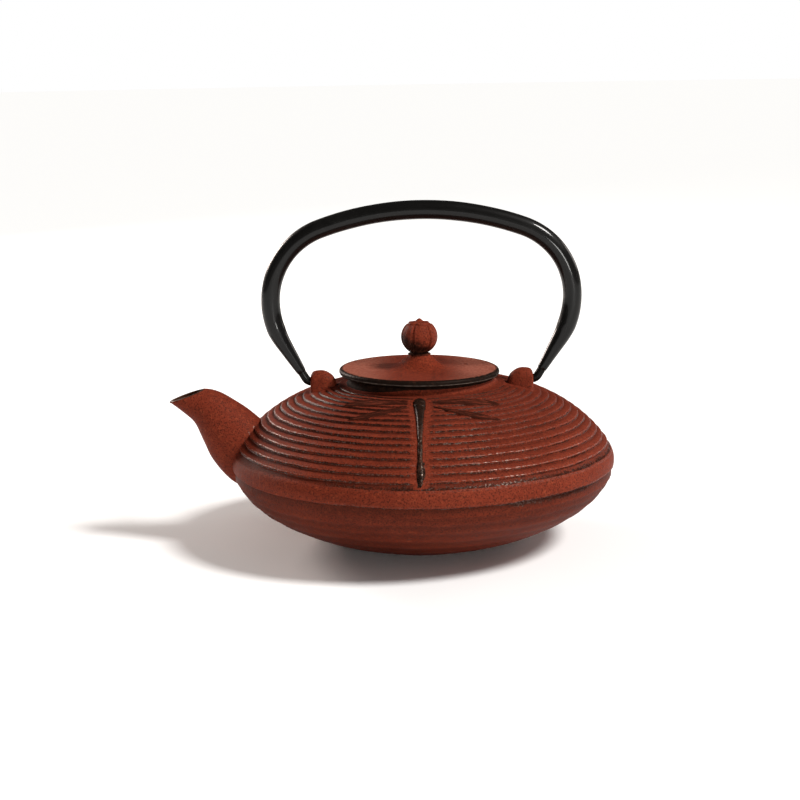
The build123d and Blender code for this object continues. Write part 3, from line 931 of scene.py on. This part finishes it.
def handle_line():
    """Half of the bail's centre line from crown to tube tip, as (x, z)."""
    crown_angle, leg = math.radians(CROWN_ANGLE), math.radians(LEG_ANGLE)
    crown_centre = CROWN_HEIGHT - CROWN_RADIUS
    shoulder = (HANDLE_HALF_SPAN - CROWN_RADIUS * math.sin(crown_angle)) / (1 - math.sin(crown_angle))
    widest = crown_centre + (CROWN_RADIUS - shoulder) * math.cos(crown_angle)
    arcs = (
        # centre x and z, radius, start and end in degrees from the top, steps
        (0.0, crown_centre, CROWN_RADIUS, 0.0, CROWN_ANGLE, 22),
        (HANDLE_HALF_SPAN - shoulder, widest, shoulder, CROWN_ANGLE, 90.0, 26),
        (HANDLE_HALF_SPAN - LEG_BEND_RADIUS, widest, LEG_BEND_RADIUS, 90.0, 90.0 + LEG_ANGLE, 16),
    )
    points = []
    for x, z, radius, start, end, steps in arcs:
        for turn in np.radians(np.linspace(start, end, steps, endpoint=False)):
            points.append((x + radius * math.sin(turn), z + radius * math.cos(turn)))
    leg_x = HANDLE_HALF_SPAN - LEG_BEND_RADIUS * (1 - math.cos(leg))
    leg_z = widest - LEG_BEND_RADIUS * math.sin(leg)
    for height in np.linspace(leg_z, TUBE_TIP_HEIGHT, 14):
        points.append((leg_x - (leg_z - height) * math.tan(leg), height))
    return points


def swept(points, radii, columns):
    """Rings of circular section along points (x, y, z); radii holds one radius for each point."""
    points = np.asarray(points, float)
    heading = np.gradient(points, axis=0)
    heading /= np.linalg.norm(heading, axis=1)[:, None]
    across = np.broadcast_to([0.0, 1.0, 0.0], points.shape)
    normal = np.cross(heading, across)
    normal /= np.linalg.norm(normal, axis=1)[:, None]
    angle = circle(columns)[None, :, None]
    spokes = np.cos(angle) * normal[:, None, :] + np.sin(angle) * across[:, None, :]
    return points[:, None, :] + np.asarray(radii)[:, None, None] * spokes


def handle_tube():
    """Black bail, swaged down at both tips, with a shallow recess round each hook."""
    half = handle_line()
    line = np.array([(-x, 0.0, z) for x, z in reversed(half[1:])] + [(x, 0.0, z) for x, z in half])
    share = np.clip((TAPER_START_HEIGHT - line[:, 2]) / (TAPER_START_HEIGHT - TUBE_TIP_HEIGHT), 0.0, 1.0)
    radii = TUBE_RADIUS + (TUBE_TIP_RADIUS - TUBE_RADIUS) * share
    line[:, 0] += HANDLE_LEAN * smooth_step(line[:, 2], HOOK_TOP_HEIGHT, HOOK_TOP_HEIGHT + 50.0)
    along = np.linspace(0.0, 1.0, len(line))
    radii = radii + TUBE_WAVER * np.sin(along * 61.0) * np.sin(along * 23.0 + 1.0)
    rings = swept(line, radii, 48)
    start, end = end_rings(rings[1], rings[0]), end_rings(rings[-2], rings[-1])
    return capped_piece("handle_tube_black", np.concatenate([start[::-1], rings[1:-1], end]), 50.0)


def end_rings(before, last):
    """Rounded tube end with a recess, as rings that follow the ring called before."""
    centre, inner = last.mean(0), before.mean(0)
    heading = (centre - inner) / np.linalg.norm(centre - inner)
    ending = ((-0.5, 1.0), (-0.15, 0.97), (0.0, 0.90), (-0.1, 0.82), (-2.5, 0.80))
    return np.array([centre + heading * depth + (last - centre) * size for depth, size in ending])


def handle_hook(name, side):
    """Rod that leaves the tube's tip and turns inwards through the lug, with a rounded end."""
    slope = math.tan(math.radians(LEG_ANGLE))
    corner_x = handle_line()[-1][0] - (TUBE_TIP_HEIGHT - PIVOT_HEIGHT) * slope
    top = np.array([corner_x + (HOOK_TOP_HEIGHT - PIVOT_HEIGHT) * slope, HOOK_TOP_HEIGHT])
    corner = np.array([corner_x, PIVOT_HEIGHT])
    down = (corner - top) / np.linalg.norm(corner - top)
    trim = HOOK_BEND_RADIUS * math.tan((math.pi / 2 - math.radians(LEG_ANGLE)) / 2)
    bend_start, bend_end = corner - down * trim, corner + np.array([-trim, 0.0])
    centre = bend_end + np.array([0.0, HOOK_BEND_RADIUS])
    points = [top + (bend_start - top) * t for t in np.linspace(0.0, 1.0, 8, endpoint=False)]
    for angle in np.linspace(math.radians(90.0 - LEG_ANGLE), 0.0, 10):
        points.append(centre + HOOK_BEND_RADIUS * np.array([math.sin(angle), -math.cos(angle)]))
    round_start = PIN_END + PIN_ROUNDING
    points += [bend_end + np.array([x, 0.0]) for x in np.linspace(-0.6, round_start - bend_end[0], 9)]
    radii = [ROD_RADIUS if x > LUG_OUTER else PIN_RADIUS for x, _ in points]
    for reach, size in ((0.45, 0.97), (0.7, 0.85), (0.85, 0.6), (PIN_ROUNDING, 0.25)):
        points.append(np.array([round_start - reach, PIVOT_HEIGHT]))
        radii.append(PIN_RADIUS * size)
    return capped_piece(name, swept([(side * x, 0.0, z) for x, z in points], radii, 32), 50.0)


# ---------------------------------------------------------------- infuser

def infuser_collar():
    """Pressed flange with a rolled edge and the short tube that carries the woven mesh."""
    tube, bore, outer = COLLAR_TUBE_RADIUS, COLLAR_BORE_RADIUS, COLLAR_HIGH.x
    seat, top, bottom = SEAT_HEIGHT, COLLAR_HIGH.z, COLLAR_LOW.z
    outline = [
        (bore, bottom + 0.1),
        (bore + 0.1, bottom),
        (tube - 0.1, bottom),
        (tube, bottom + 0.1),
        (tube, bottom + 1.2),
        (tube + 0.18, bottom + 1.5),
        (tube + 0.18, bottom + 1.9),
        (tube, bottom + 2.2),
        (tube, seat - 0.4),
        (tube + 0.25, seat - 0.1),
        (tube + 0.6, seat),
        (outer - 0.4, seat),
    ]
    for turn in np.radians(np.linspace(-80.0, 80.0, 7)):
        outline.append((outer - 0.4 + 0.4 * math.cos(turn), (seat + top) / 2 + 0.4 * math.sin(turn)))
    outline += [
        (outer - 0.5, top),
        (bore + 1.0, top - 0.05),
        (bore + 0.45, top - 0.2),
        (bore + 0.1, top - 0.6),
        (bore, seat - 0.5),
    ]
    return turned_piece("infuser_collar_steel", outline, 180, 40.0)


def pressed_floor(level):
    """One face of the cup's floor from its middle outwards, with the ring pressed into it."""
    raised = level + 0.35
    inside = [(0.8, level), (8.0, level), (15.0, level), (16.0, raised)]
    return inside + [(17.0, raised), (18.0, level), (24.0, level)]


def infuser_base():
    """Pressed cup that closes the mesh, with a ring pressed into its floor."""
    outer, low, high = BASE_HIGH.x, BASE_LOW.z, BASE_HIGH.z
    inner, floor = outer - 0.5, low + 0.6
    wall = [
        (outer - 1.0, low),
        (outer - 0.3, low + 0.12),
        (outer - 0.05, low + 0.5),
        (outer, low + 1.0),
        (outer, high - 0.3),
        (outer, high - 0.15),
        (outer - 0.15, high),
        (inner + 0.15, high),
        (inner, high - 0.15),
        (inner, floor + 0.6),
        (inner - 0.4, floor + 0.15),
        (inner - 1.0, floor),
    ]
    radii, heights = np.array(pressed_floor(low) + wall + pressed_floor(floor)[::-1]).T
    return capped_piece("infuser_base_steel", lathe(radii, heights, 160), 35.0)


class WireCloth:
    """Wires of square section, gathered into one mesh."""

    def __init__(self):
        self.vertices, self.faces = [], []

    def add(self, centres, outward, upward, closed):
        """One wire through centres; outward and upward are its section's axes at each of them."""
        corners = np.radians([45.0, 135.0, 225.0, 315.0])[None, :, None]
        section = np.cos(corners) * outward[:, None, :] + np.sin(corners) * upward[:, None, :]
        start = sum(len(part) for part in self.vertices)
        self.vertices.append((centres[:, None, :] + MESH_WIRE * section).reshape(-1, 3))
        index = start + np.arange(len(centres) * 4).reshape(-1, 4)
        ends = [] if closed else [index[0, ::-1].tolist(), index[-1].tolist()]
        following = np.roll(index, -1, axis=0) if closed else index[1:]
        index = index if closed else index[:-1]
        beside, corner = np.roll(index, -1, axis=1), np.roll(following, -1, axis=1)
        self.faces += np.stack([index, beside, corner, following], axis=-1).reshape(-1, 4).tolist() + ends


def infuser_mesh():
    """Woven wire cloth bent into a tube: upright wires and level wires that pass over and under."""
    radius = MESH_HIGH.x - 0.2
    low, high = MESH_LOW.z + 0.1, MESH_HIGH.z - 0.1
    pitch = (high - low) / MESH_LEVELS
    cloth = WireCloth()
    turn = circle(2 * MESH_UPRIGHTS)
    outward = np.stack([np.cos(turn), np.sin(turn), np.zeros_like(turn)], axis=-1)
    for level in range(MESH_LEVELS):
        over = MESH_WEAVE * np.cos(MESH_UPRIGHTS * turn + math.pi * level)
        centres = outward * (radius + over)[:, None] + [0.0, 0.0, low + pitch * (level + 0.5)]
        cloth.add(centres, outward, np.broadcast_to([0.0, 0.0, 1.0], outward.shape), True)
    heights = np.linspace(low, high, 2 * MESH_LEVELS + 1)
    for upright in range(MESH_UPRIGHTS):
        turn = 2.0 * math.pi * upright / MESH_UPRIGHTS
        direction = np.array([math.cos(turn), math.sin(turn), 0.0])
        sideways = np.array([-math.sin(turn), math.cos(turn), 0.0])
        sign = 1.0 if upright % 2 else -1.0
        over = -MESH_WEAVE * sign * np.sin(math.pi * (heights - low) / pitch)
        rise = np.stack([0 * heights, 0 * heights, heights], axis=-1)
        centres = direction * (radius + over)[:, None] + rise
        section_axes = (np.broadcast_to(axis, centres.shape) for axis in (direction, sideways))
        cloth.add(centres, *section_axes, False)
    mesh = new_piece("infuser_mesh_steel", np.vstack(cloth.vertices), cloth.faces)
    mesh.data.shade_smooth()
    return mesh


# ---------------------------------------------------------------- materials

class Material:
    """A node material that ends in one Principled shader, with a short method for each kind of node."""

    def __init__(self, name, **sockets):
        self.data = bpy.data.materials.new(name)
        self.data.use_nodes = True
        self.tree = self.data.node_tree
        self.tree.nodes.clear()
        output = self.tree.nodes.new("ShaderNodeOutputMaterial")
        self.shader = self.node("ShaderNodeBsdfPrincipled", **sockets)
        self.tree.links.new(self.shader.outputs[0], output.inputs[0])
        self.place = self.node("ShaderNodeTexCoord").outputs["Object"]

    def node(self, kind, settings=None, **inputs):
        """New node; settings are its own properties, inputs the values of its named sockets."""
        made = self.tree.nodes.new(kind)
        for key, value in (settings or {}).items():
            setattr(made, key, value)
        for key, value in inputs.items():
            self.feed(made.inputs[key.replace("_", " ")], value)
        return made

    def feed(self, socket, value):
        """Links a value that comes from a node, or stores a plain one."""
        if isinstance(value, bpy.types.NodeSocket):
            self.tree.links.new(value, socket)
        else:
            socket.default_value = value

    def set(self, name, value):
        """Feeds one of the shader's sockets."""
        self.feed(self.shader.inputs[name], value)

    def axes(self):
        """The place's x, y and z, in metres."""
        return self.node("ShaderNodeSeparateXYZ", Vector=self.place).outputs

    def noise(self, scale, detail=4.0, roughness=0.5, stretch=(1.0, 1.0, 1.0)):
        """Noise with features about 1 / scale metres across."""
        place = self.node("ShaderNodeMapping", Vector=self.place, Scale=stretch).outputs[0]
        made = self.node("ShaderNodeTexNoise", Vector=place, Scale=scale, Detail=detail, Roughness=roughness)
        return made.outputs["Fac"]

    def attribute(self, name):
        return self.node("ShaderNodeAttribute", {"attribute_name": name}).outputs["Fac"]

    def math(self, operation, value, *others):
        """One operation on a value, or the same one again with each of the others."""
        for other in others or (0.0,):
            made = self.node("ShaderNodeMath", {"operation": operation})
            self.feed(made.inputs[0], value)
            self.feed(made.inputs[1], other)
            value = made.outputs[0]
        return value

    def times(self, *values):
        return self.math("MULTIPLY", *values)

    def plus(self, *values):
        return self.math("ADD", *values)

    def minus(self, value, other):
        return self.math("SUBTRACT", value, other)

    def most(self, *values):
        return self.math("MAXIMUM", *values)

    def sway(self, noise, size):
        """Noise centred on 0 and size wide."""
        return self.times(self.minus(noise, 0.5), size)

    def ramp(self, value, low, high, start=0.0, end=1.0):
        """Smooth change from start to end as value goes from low to high."""
        made = self.node("ShaderNodeMapRange", {"interpolation_type": "SMOOTHSTEP"})
        for socket, number in zip(made.inputs[:5], (value, low, high, start, end)):
            self.feed(socket, number)
        return made.outputs[0]

    def ramp_mm(self, length, low, high, start=0.0, end=1.0):
        """The same for a length in metres, with low and high in millimetres."""
        return self.ramp(length, low * MM, high * MM, start, end)

    def mix(self, share, first, second):
        """Colour between first and second."""
        made = self.node("ShaderNodeMix", {"data_type": "RGBA"})
        self.feed(made.inputs[0], share)
        self.feed(made.inputs[6], colour(first))
        self.feed(made.inputs[7], colour(second))
        return made.outputs[2]

    def blend(self, share, first, second):
        """Number between first and second."""
        made = self.node("ShaderNodeMix", {"data_type": "FLOAT"})
        self.feed(made.inputs[0], share)
        self.feed(made.inputs[2], first)
        self.feed(made.inputs[3], second)
        return made.outputs[0]

    def bump(self, height, depth, normal=None):
        """Bumps depth metres deep where height is 1, over any bumps already made."""
        made = self.node("ShaderNodeBump", Height=height, Strength=1.0, Distance=depth)
        if normal is not None:
            self.feed(made.inputs["Normal"], normal)
        return made.outputs[0]


def colour(value):
    """A node's colour as it is, or the linear light of screen values (red, green, blue) from 0 to 255."""
    if isinstance(value, bpy.types.NodeSocket):
        return value
    linear = [v / 255 / 12.92 if v <= 10 else ((v / 255 + 0.055) / 1.055) ** 2.4 for v in value]
    return (*linear, 1.0)


PAINT_LIGHT = (137, 60, 38)
PAINT = (120, 48, 31)
PAINT_DEEP = (107, 41, 26)
# dark red for the paint's grain and the lid's scratches, and also the colour of the painted shade in the
# pot's hollows
PAINT_DARK_AND_SHADE = (48, 22, 16)
ENAMEL = (24, 16, 12)
ENAMEL_WARM = (64, 40, 30)
ENAMEL_BROWN = (56, 24, 16)
WING_BROWN = (80, 42, 31)
# light grey-brown of the painted highlight line on the lid's black rim
RIM_HIGHLIGHT = (104, 94, 86)
# lighter pink for the painted sheen on the lid's sides
PAINT_SHEEN = (156, 96, 79)


class CastIronPaint(Material):
    """Satin red paint on sand-cast iron, over black enamel that shows where the paint is worn."""

    def __init__(self, name):
        super().__init__(name, IOR=1.45)
        self.patches = self.noise(26.0, 3.0)
        self.mottle = self.noise(520.0, 4.0, 0.65)
        self.grain = self.noise(1500.0, 3.0, 0.6)
        body = self.mix(self.ramp(self.patches, 0.3, 0.7), PAINT_DEEP, PAINT)
        body = self.mix(self.ramp(self.mottle, 0.50, 0.70, 0.0, 0.75), body, PAINT_LIGHT)
        self.body = self.mix(self.ramp(self.grain, 0.55, 0.33, 0.0, 0.75), body, PAINT_DARK_AND_SHADE)

    def finish(self, worn, body, enamel, gloss, shine=0.0, dull=0.07, glint=0.4,
               rough_paint=0.58, rough_enamel=0.30, smooth=0.45):
        """Worn places are smooth enamel of some gloss; the rest is dull paint that glints where it shines."""
        self.set("Base Color", self.mix(worn, body, enamel))
        rough = self.blend(self.ramp(self.grain, 0.3, 0.7), rough_paint - 0.06, rough_paint + 0.08)
        self.set("Roughness", self.blend(worn, self.blend(shine, rough, 0.25), rough_enamel))
        self.set("Specular IOR Level", self.blend(worn, self.blend(shine, dull, glint), gloss))
        self.set("Specular Tint", (1.0, 0.80, 0.68, 1.0))
        coarse = self.bump(self.mottle, 0.00020)
        self.set("Normal", self.bump(self.times(self.grain, self.blend(worn, 1.0, smooth)), 0.00012, coarse))
        return self.data


class PotPaint(CastIronPaint):
    """The pot's paint: rubbed through along the ridges' lips, on the wings' veins and on the dragonfly."""

    def __init__(self):
        super().__init__("red_cast_iron")
        self.lip, self.hollow, self.black, self.vein = (self.attribute(name) for name in Marks.REST)
        self.x, self.y, self.z = self.axes()
        self.ragged = self.noise(800.0, 3.0, 0.65)
        self.streaks = self.noise(800.0, 2.0, 0.6, (0.15, 1.0, 1.0))
        self.neck = self.ramp_mm(self.z, 72.4, 73.4)
        self.left = self.ramp_mm(self.x, -30.0, -55.0)
        by_band = self.ramp_mm(self.z, BAND_TOP + 2.0, BAND_TOP + 1.4)
        self.rubbed = self.minus(1.0, self.times(by_band, self.ramp_mm(self.x, -30.0, -52.0)))

    def paint_colour(self):
        """Painted shade in the hollows, the groove and over the lower body, with less of it where the key
        light falls on the right of the shoulder; streaked with brown on the wings.
        """
        shoulder = self.ramp_mm(self.z, BAND_TOP, BAND_TOP + 2.0)
        lit = self.times(self.ramp_mm(self.x, -20.0, 50.0, 0.0, 0.5), shoulder)
        # painted shade: the hollows mix towards the dark shade colour, less of it on the lit right side of
        # the shoulder
        shade = self.times(self.ramp(self.hollow, 0.35, 1.0, 0.0, 0.6), self.minus(1.0, lit))
        wing = self.times(self.ramp(self.vein, 0.1, 0.3), self.ramp(self.streaks, 0.38, 0.60, 0.25, 0.9))
        return self.mix(wing, self.mix(shade, self.body, PAINT_DARK_AND_SHADE), WING_BROWN)

    def worn_lips(self):
        """Ragged lines along the lips of the ridges and the band, wide on the band's lower rear edge."""
        low_edge = self.times(
            self.ramp_mm(self.z, BAND_BOTTOM + 2.6, BAND_BOTTOM + 1.6),
            self.ramp_mm(self.x, 25.0, 42.0),
            self.ramp_mm(self.x, 68.0, 78.0, 1.0, 0.2),
        )
        broken = self.noise(110.0, 3.0, 0.6)
        width = self.times(self.blend(broken, -0.06, 0.66), self.ramp_mm(self.x, -20.0, 35.0, 1.0, 0.75))
        reach = self.plus(width, self.times(low_edge, 0.8), self.sway(self.ragged, 1.1))
        line = self.ramp(self.minus(reach, self.lip), -0.05, 0.12)
        return self.times(line, self.ramp(self.patches, 0.30, 0.52, 0.45, 1.0), self.rubbed)

    def enamel_colour(self):
        """Black where it was left bare, brown where paint wore through, warmer in front and at the left."""
        front = self.times(self.ramp(self.mottle, 0.38, 0.62), self.ramp_mm(self.y, -60.0, -72.0, 0.35, 1.0))
        enamel = self.mix(self.most(front, self.left), ENAMEL, ENAMEL_WARM)
        return self.mix(self.ramp(self.black, 0.5, 0.2, 0.0, 0.75), enamel, ENAMEL_BROWN)

    def enamel_gloss(self):
        """Sparkling on the lower shoulder, dull near the neck, on the wings and at the rear."""
        high = self.ramp_mm(self.z, 62.0, 70.0)
        sparks = self.ramp(self.noise(1100.0, 2.0, 0.6), 0.50, 0.60, 0.06, 0.9)
        return self.times(
            self.blend(self.neck, self.blend(high, sparks, 0.08), 0.02),
            self.ramp_mm(self.x, 40.0, 56.0, 1.0, 0.1),
            self.ramp(self.vein, 0.05, 0.2, 1.0, 0.08),
            self.blend(self.left, 1.0, 0.55),
        )

    def polished_crests(self):
        """Paint rubbed shiny along the crests of the ridges, mostly low on the shoulder."""
        return self.times(
            self.ramp(self.hollow, 0.06, 0.0),
            self.ramp(self.lip, FAR_FROM_LIP, 1.2),
            self.ramp(self.ragged, 0.44, 0.56),
            self.ramp_mm(self.z, 68.0, 60.0, 0.15, 1.0),
            self.ramp_mm(self.z, BAND_TOP + 0.6, BAND_TOP + 1.4, 0.2, 1.0),
            self.rubbed,
        )


def pot_paint():
    paint = PotPaint()
    veins = paint.times(paint.ramp(paint.plus(paint.vein, paint.times(paint.streaks, 1.9)), 1.30, 1.70), 0.92)
    bare = paint.ramp(paint.plus(paint.black, paint.sway(paint.ragged, 0.5)), 0.4, 0.6)
    worn = paint.most(paint.worn_lips(), veins, bare)
    return paint.finish(
        worn,
        paint.paint_colour(),
        paint.enamel_colour(),
        paint.enamel_gloss(),
        shine=paint.polished_crests(),
        glint=1.0,
        rough_enamel=paint.blend(paint.neck, 0.30, 0.65),
        smooth=1.2,
    )


def lid_paint():
    """The lid's paint, sprayed from above: the rim's side and the underside stay black. A painted sheen
    lightens its left and right sides, and a painted highlight line runs along the rim.
    """
    paint = CastIronPaint("red_lid")
    x, y, z = paint.axes()
    slope = math.tan(math.radians(LID_TILT))
    z = paint.plus(paint.times(x, slope), paint.minus(z, (LID_RADIUS + LID_SHIFT) * slope * MM))
    x = paint.minus(x, LID_SHIFT * MM)
    radius = paint.math("SQRT", paint.plus(paint.times(x, x), paint.times(y, y)))
    ragged = paint.noise(330.0, 4.0, 0.6)
    under = paint.ramp_mm(paint.plus(z, paint.sway(ragged, 0.0011)), LID_TOP + 0.30, LID_TOP - 0.05)
    reach = paint.plus(radius, paint.sway(ragged, 0.0030))
    top_face = paint.ramp_mm(reach, LID_RADIUS - 1.5, LID_RADIUS - 1.9)
    low = paint.ramp_mm(z, LID_TOP - 0.9, LID_TOP - 1.3)
    worn = paint.most(paint.times(under, paint.minus(1.0, top_face)), low)

    scratches = paint.noise(300.0, 3.0, 0.5, (1.0, 0.12, 1.0))
    body = paint.mix(paint.ramp(scratches, 0.5, 0.8, 0.0, 0.4), paint.body, PAINT_DARK_AND_SHADE)
    # painted sheen: lighter pinkish paint in a hatched pattern towards the lid's left and right sides, where
    # light glances off the top
    hatch = paint.noise(800.0, 3.0, 0.6, (1.0, 0.7, 1.0))
    sheen_sides = paint.ramp_mm(paint.math("ABSOLUTE", x), 9.0, 26.0)
    body = paint.mix(paint.times(sheen_sides, paint.ramp(hatch, 0.40, 0.60, 0.40, 0.80)), body, PAINT_SHEEN)

    enamel = paint.mix(paint.ramp(paint.mottle, 0.52, 0.85), ENAMEL, ENAMEL_WARM)
    # painted highlight: a thin light line along the lower rounding of the rim's black enamel, broken by noise
    from_edge = paint.math("ABSOLUTE", paint.minus(z, (NECK_TOP + 1.0) * MM))
    by_rim = paint.ramp_mm(radius, LID_RADIUS - 1.2, LID_RADIUS - 0.8)
    edge = paint.times(paint.ramp_mm(from_edge, 0.28, 0.12), by_rim)
    enamel = paint.mix(paint.times(edge, paint.ramp(ragged, 0.35, 0.6, 0.3, 0.9)), enamel, RIM_HIGHLIGHT)
    dull = paint.blend(paint.ramp_mm(radius, 9.0, 15.0), 0.01, 0.09)
    return paint.finish(worn, body, enamel, 0.05, dull=dull, rough_paint=0.5, rough_enamel=0.45)


def knob_paint():
    """The knob's paint, dark on its lower half and on its left side: partly rubbed through to the enamel,
    partly painted shade.
    """
    paint = CastIronPaint("red_knob")
    x, _, z = paint.axes()
    # painted shade along with wear: the ball darkens towards its lower left, the collar towards its left side
    level = paint.plus(paint.times(x, 0.55), z, paint.sway(paint.noise(260.0, 4.0, 0.65), 0.007))
    ball = paint.ramp_mm(level, BALL_CENTRE + 1.0, BALL_CENTRE - 5.0, 0.0, 0.92)
    collar = paint.ramp_mm(x, 3.0, -4.0, 0.15, 0.6)
    worn = paint.blend(paint.ramp_mm(z, COLLAR_TOP + 0.6, COLLAR_TOP - 0.6), ball, collar)
    enamel = paint.mix(paint.ramp(paint.mottle, 0.45, 0.7), ENAMEL, ENAMEL_WARM)
    return paint.finish(worn, paint.body, enamel, 0.05, rough_enamel=0.5)


def black_lacquer(name, base, roughness, coat):
    """Baked black lacquer: satin, with a slight orange-peel surface and a few dull rubs."""
    lacquer = Material(name, IOR=1.45, Specular_IOR_Level=0.1, Coat_Weight=coat, Coat_Roughness=0.09)
    peel = lacquer.noise(900.0, 3.0, 0.5)
    rubs = lacquer.noise(45.0, 5.0, 0.6)
    dust = lacquer.noise(2600.0, 2.0, 0.5)
    lacquer.set("Base Color", lacquer.mix(lacquer.ramp(rubs, 0.45, 0.75), base, tuple(v + 8 for v in base)))
    lacquer.set("Roughness", lacquer.ramp(rubs, 0.35, 0.7, roughness, roughness + 0.12))
    lacquer.set("Normal", lacquer.bump(dust, 0.00001, lacquer.bump(peel, 0.00003)))
    return lacquer.data


def stainless(name, stretch, roughness=0.24):
    """Stainless steel with fine drawn lines."""
    steel = Material(name, Metallic=1.0)
    lines = steel.noise(1500.0, 3.0, 0.6, stretch)
    cloud = steel.noise(60.0, 3.0)
    steel.set("Base Color", steel.mix(steel.ramp(cloud, 0.35, 0.7), (176, 176, 172), (204, 203, 198)))
    steel.set("Roughness", steel.ramp(lines, 0.3, 0.7, roughness - 0.05, roughness + 0.12))
    steel.set("Normal", steel.bump(lines, 0.000012))
    return steel.data


def matt_white(name, tone):
    """Plain floor colour with no reflection of its own."""
    surface = Material(name, Roughness=1.0, Specular_IOR_Level=0.0)
    surface.set("Base Color", colour(tone))
    return surface.data


# ---------------------------------------------------------------- putting it together

def place(piece, material, body, slot, *nodes):
    """Gives a piece its material, the body it rides on and the CAD nodes it stands for; slot is not used."""
    piece.data.materials.clear()
    piece.data.materials.append(material)
    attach(piece, body)
    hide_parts(*nodes)


def build_object():
    place(pot_casting(), pot_paint(), "pot", "red_casting", "pot_body")
    place(lid_plate(), lid_paint(), "lid", "red_lid", "lid_plate")
    place(lid_knob(), knob_paint(), "lid", "red_knob", "lid_knob")
    place(knob_washer(), stainless("washer_steel", (1.0, 1.0, 1.0)), "lid", "washer_steel", "knob_washer")
    tube_black = black_lacquer("black_handle", (13, 12, 11), 0.36, 0.4)
    place(handle_tube(), tube_black, "handle", "black_handle", "handle_tube")
    hook_black = black_lacquer("black_hook", (15, 14, 12), 0.42, 0.1)
    for side, end in ((-1, "spout_side"), (1, "rear_side")):
        hook = handle_hook(f"handle_hook_{end}_black", side)
        place(hook, hook_black, "handle", "black_hook", f"handle_hook_{end}")
    steel = stainless("infuser_steel", (0.15, 0.15, 1.0))
    wire = stainless("infuser_wire", (1.0, 1.0, 1.0), 0.3)
    place(infuser_collar(), steel, "infuser", "infuser_steel", "infuser_collar")
    place(infuser_mesh(), wire, "infuser", "infuser_steel", "infuser_mesh")
    place(infuser_base(), steel, "infuser", "infuser_steel", "infuser_base")


def build_floor():
    """Wide pale floor at the foot's level."""
    corners = 96
    floor = new_piece("floor", lathe([FLOOR_RADIUS], [POT_LOW.z], corners)[0], [range(corners)])
    floor.data.materials.append(matt_white("floor_white", (252, 254, 255)))


def add_light(name, kind, power, tint, direction):
    """Lamp that shines in a direction."""
    light = bpy.data.lights.new(name, kind)
    light.energy = power
    light.color = tint
    lamp = add_object(name, light)
    lamp.rotation_euler = Vector(direction).to_track_quat("-Z", "Y").to_euler()
    return lamp


def area_light(name, position, size, power, tint):
    """Square soft light aimed at the pot; position and size in metres."""
    lamp = add_light(name, "AREA", power, tint, Vector(LIGHT_AIM) - Vector(position))
    lamp.location = position
    lamp.data.shape = "SQUARE"
    lamp.data.size = size


def sky_light(name, direction, spread, strength, tint):
    """Distant soft light that comes from a direction, spread degrees wide."""
    lamp = add_light(name, "SUN", strength, tint, -Vector(direction))
    lamp.data.angle = math.radians(spread)


def build_world():
    """White where the camera looks past the object; dim round it, and dimmer still in its reflections."""
    world = bpy.data.worlds.new("studio")
    world.use_nodes = True
    nodes, links = world.node_tree.nodes, world.node_tree.links
    nodes.clear()
    rays = nodes.new("ShaderNodeLightPath")

    def glow(tint, strength):
        made = nodes.new("ShaderNodeBackground")
        made.inputs["Color"].default_value = (*tint, 1.0)
        made.inputs["Strength"].default_value = strength
        return made.outputs[0]

    def choose(kind, others, chosen):
        """The chosen glow for one kind of ray, another one for the rest."""
        made = nodes.new("ShaderNodeMixShader")
        for socket, source in zip(made.inputs, (rays.outputs[kind], others, chosen)):
            links.new(source, socket)
        return made.outputs[0]

    room = choose("Is Glossy Ray", glow((1.0, 0.98, 0.96), 0.18), glow((0.8, 0.8, 0.8), 0.07))
    seen = choose("Is Camera Ray", room, glow((1.0, 1.0, 1.0), 1.0))
    links.new(seen, nodes.new("ShaderNodeOutputWorld").inputs[0])
    bpy.context.scene.world = world


def build_light():
    build_world()
    sky_light("key", (0.62, -0.24, 0.75), 16.0, 3.5, (1.0, 0.97, 0.94))
    area_light("back_left", (-0.90, 0.90, 0.50), 0.40, 14.0, (1.0, 0.86, 0.78))
    area_light("back_right", (1.10, 0.75, 0.50), 0.40, 2.5, (1.0, 0.93, 0.88))
    area_light("front_right", (0.52, -1.30, 0.20), 0.24, 4.5, (1.0, 0.99, 0.96))


def build_camera():
    """Camera in front of the pot's axis, higher than the handle, turned a little left and rolled slightly."""
    data = bpy.data.cameras.new("camera")
    data.sensor_width = SENSOR_WIDTH
    data.lens = FOCAL_LENGTH
    camera = add_object("camera", data)
    yaw, pitch, roll = (math.radians(angle) for angle in CAMERA_TURN)
    forward = Vector((math.sin(yaw) * math.cos(pitch), math.cos(yaw) * math.cos(pitch), -math.sin(pitch)))
    right = forward.cross(Vector((0.0, 0.0, 1.0))).normalized()
    up = right.cross(forward)
    right, up = math.cos(roll) * right - math.sin(roll) * up, math.sin(roll) * right + math.cos(roll) * up
    turned = Matrix((right, up, -forward)).transposed().to_4x4()
    camera.matrix_world = Matrix.Translation(CAMERA_PLACE) @ turned
    bpy.context.scene.camera = camera


def set_colour_management():
    view = bpy.context.scene.view_settings
    view.view_transform = "Standard"
    view.look = "None"


build_object()
build_floor()
build_light()
build_camera()
set_colour_management()
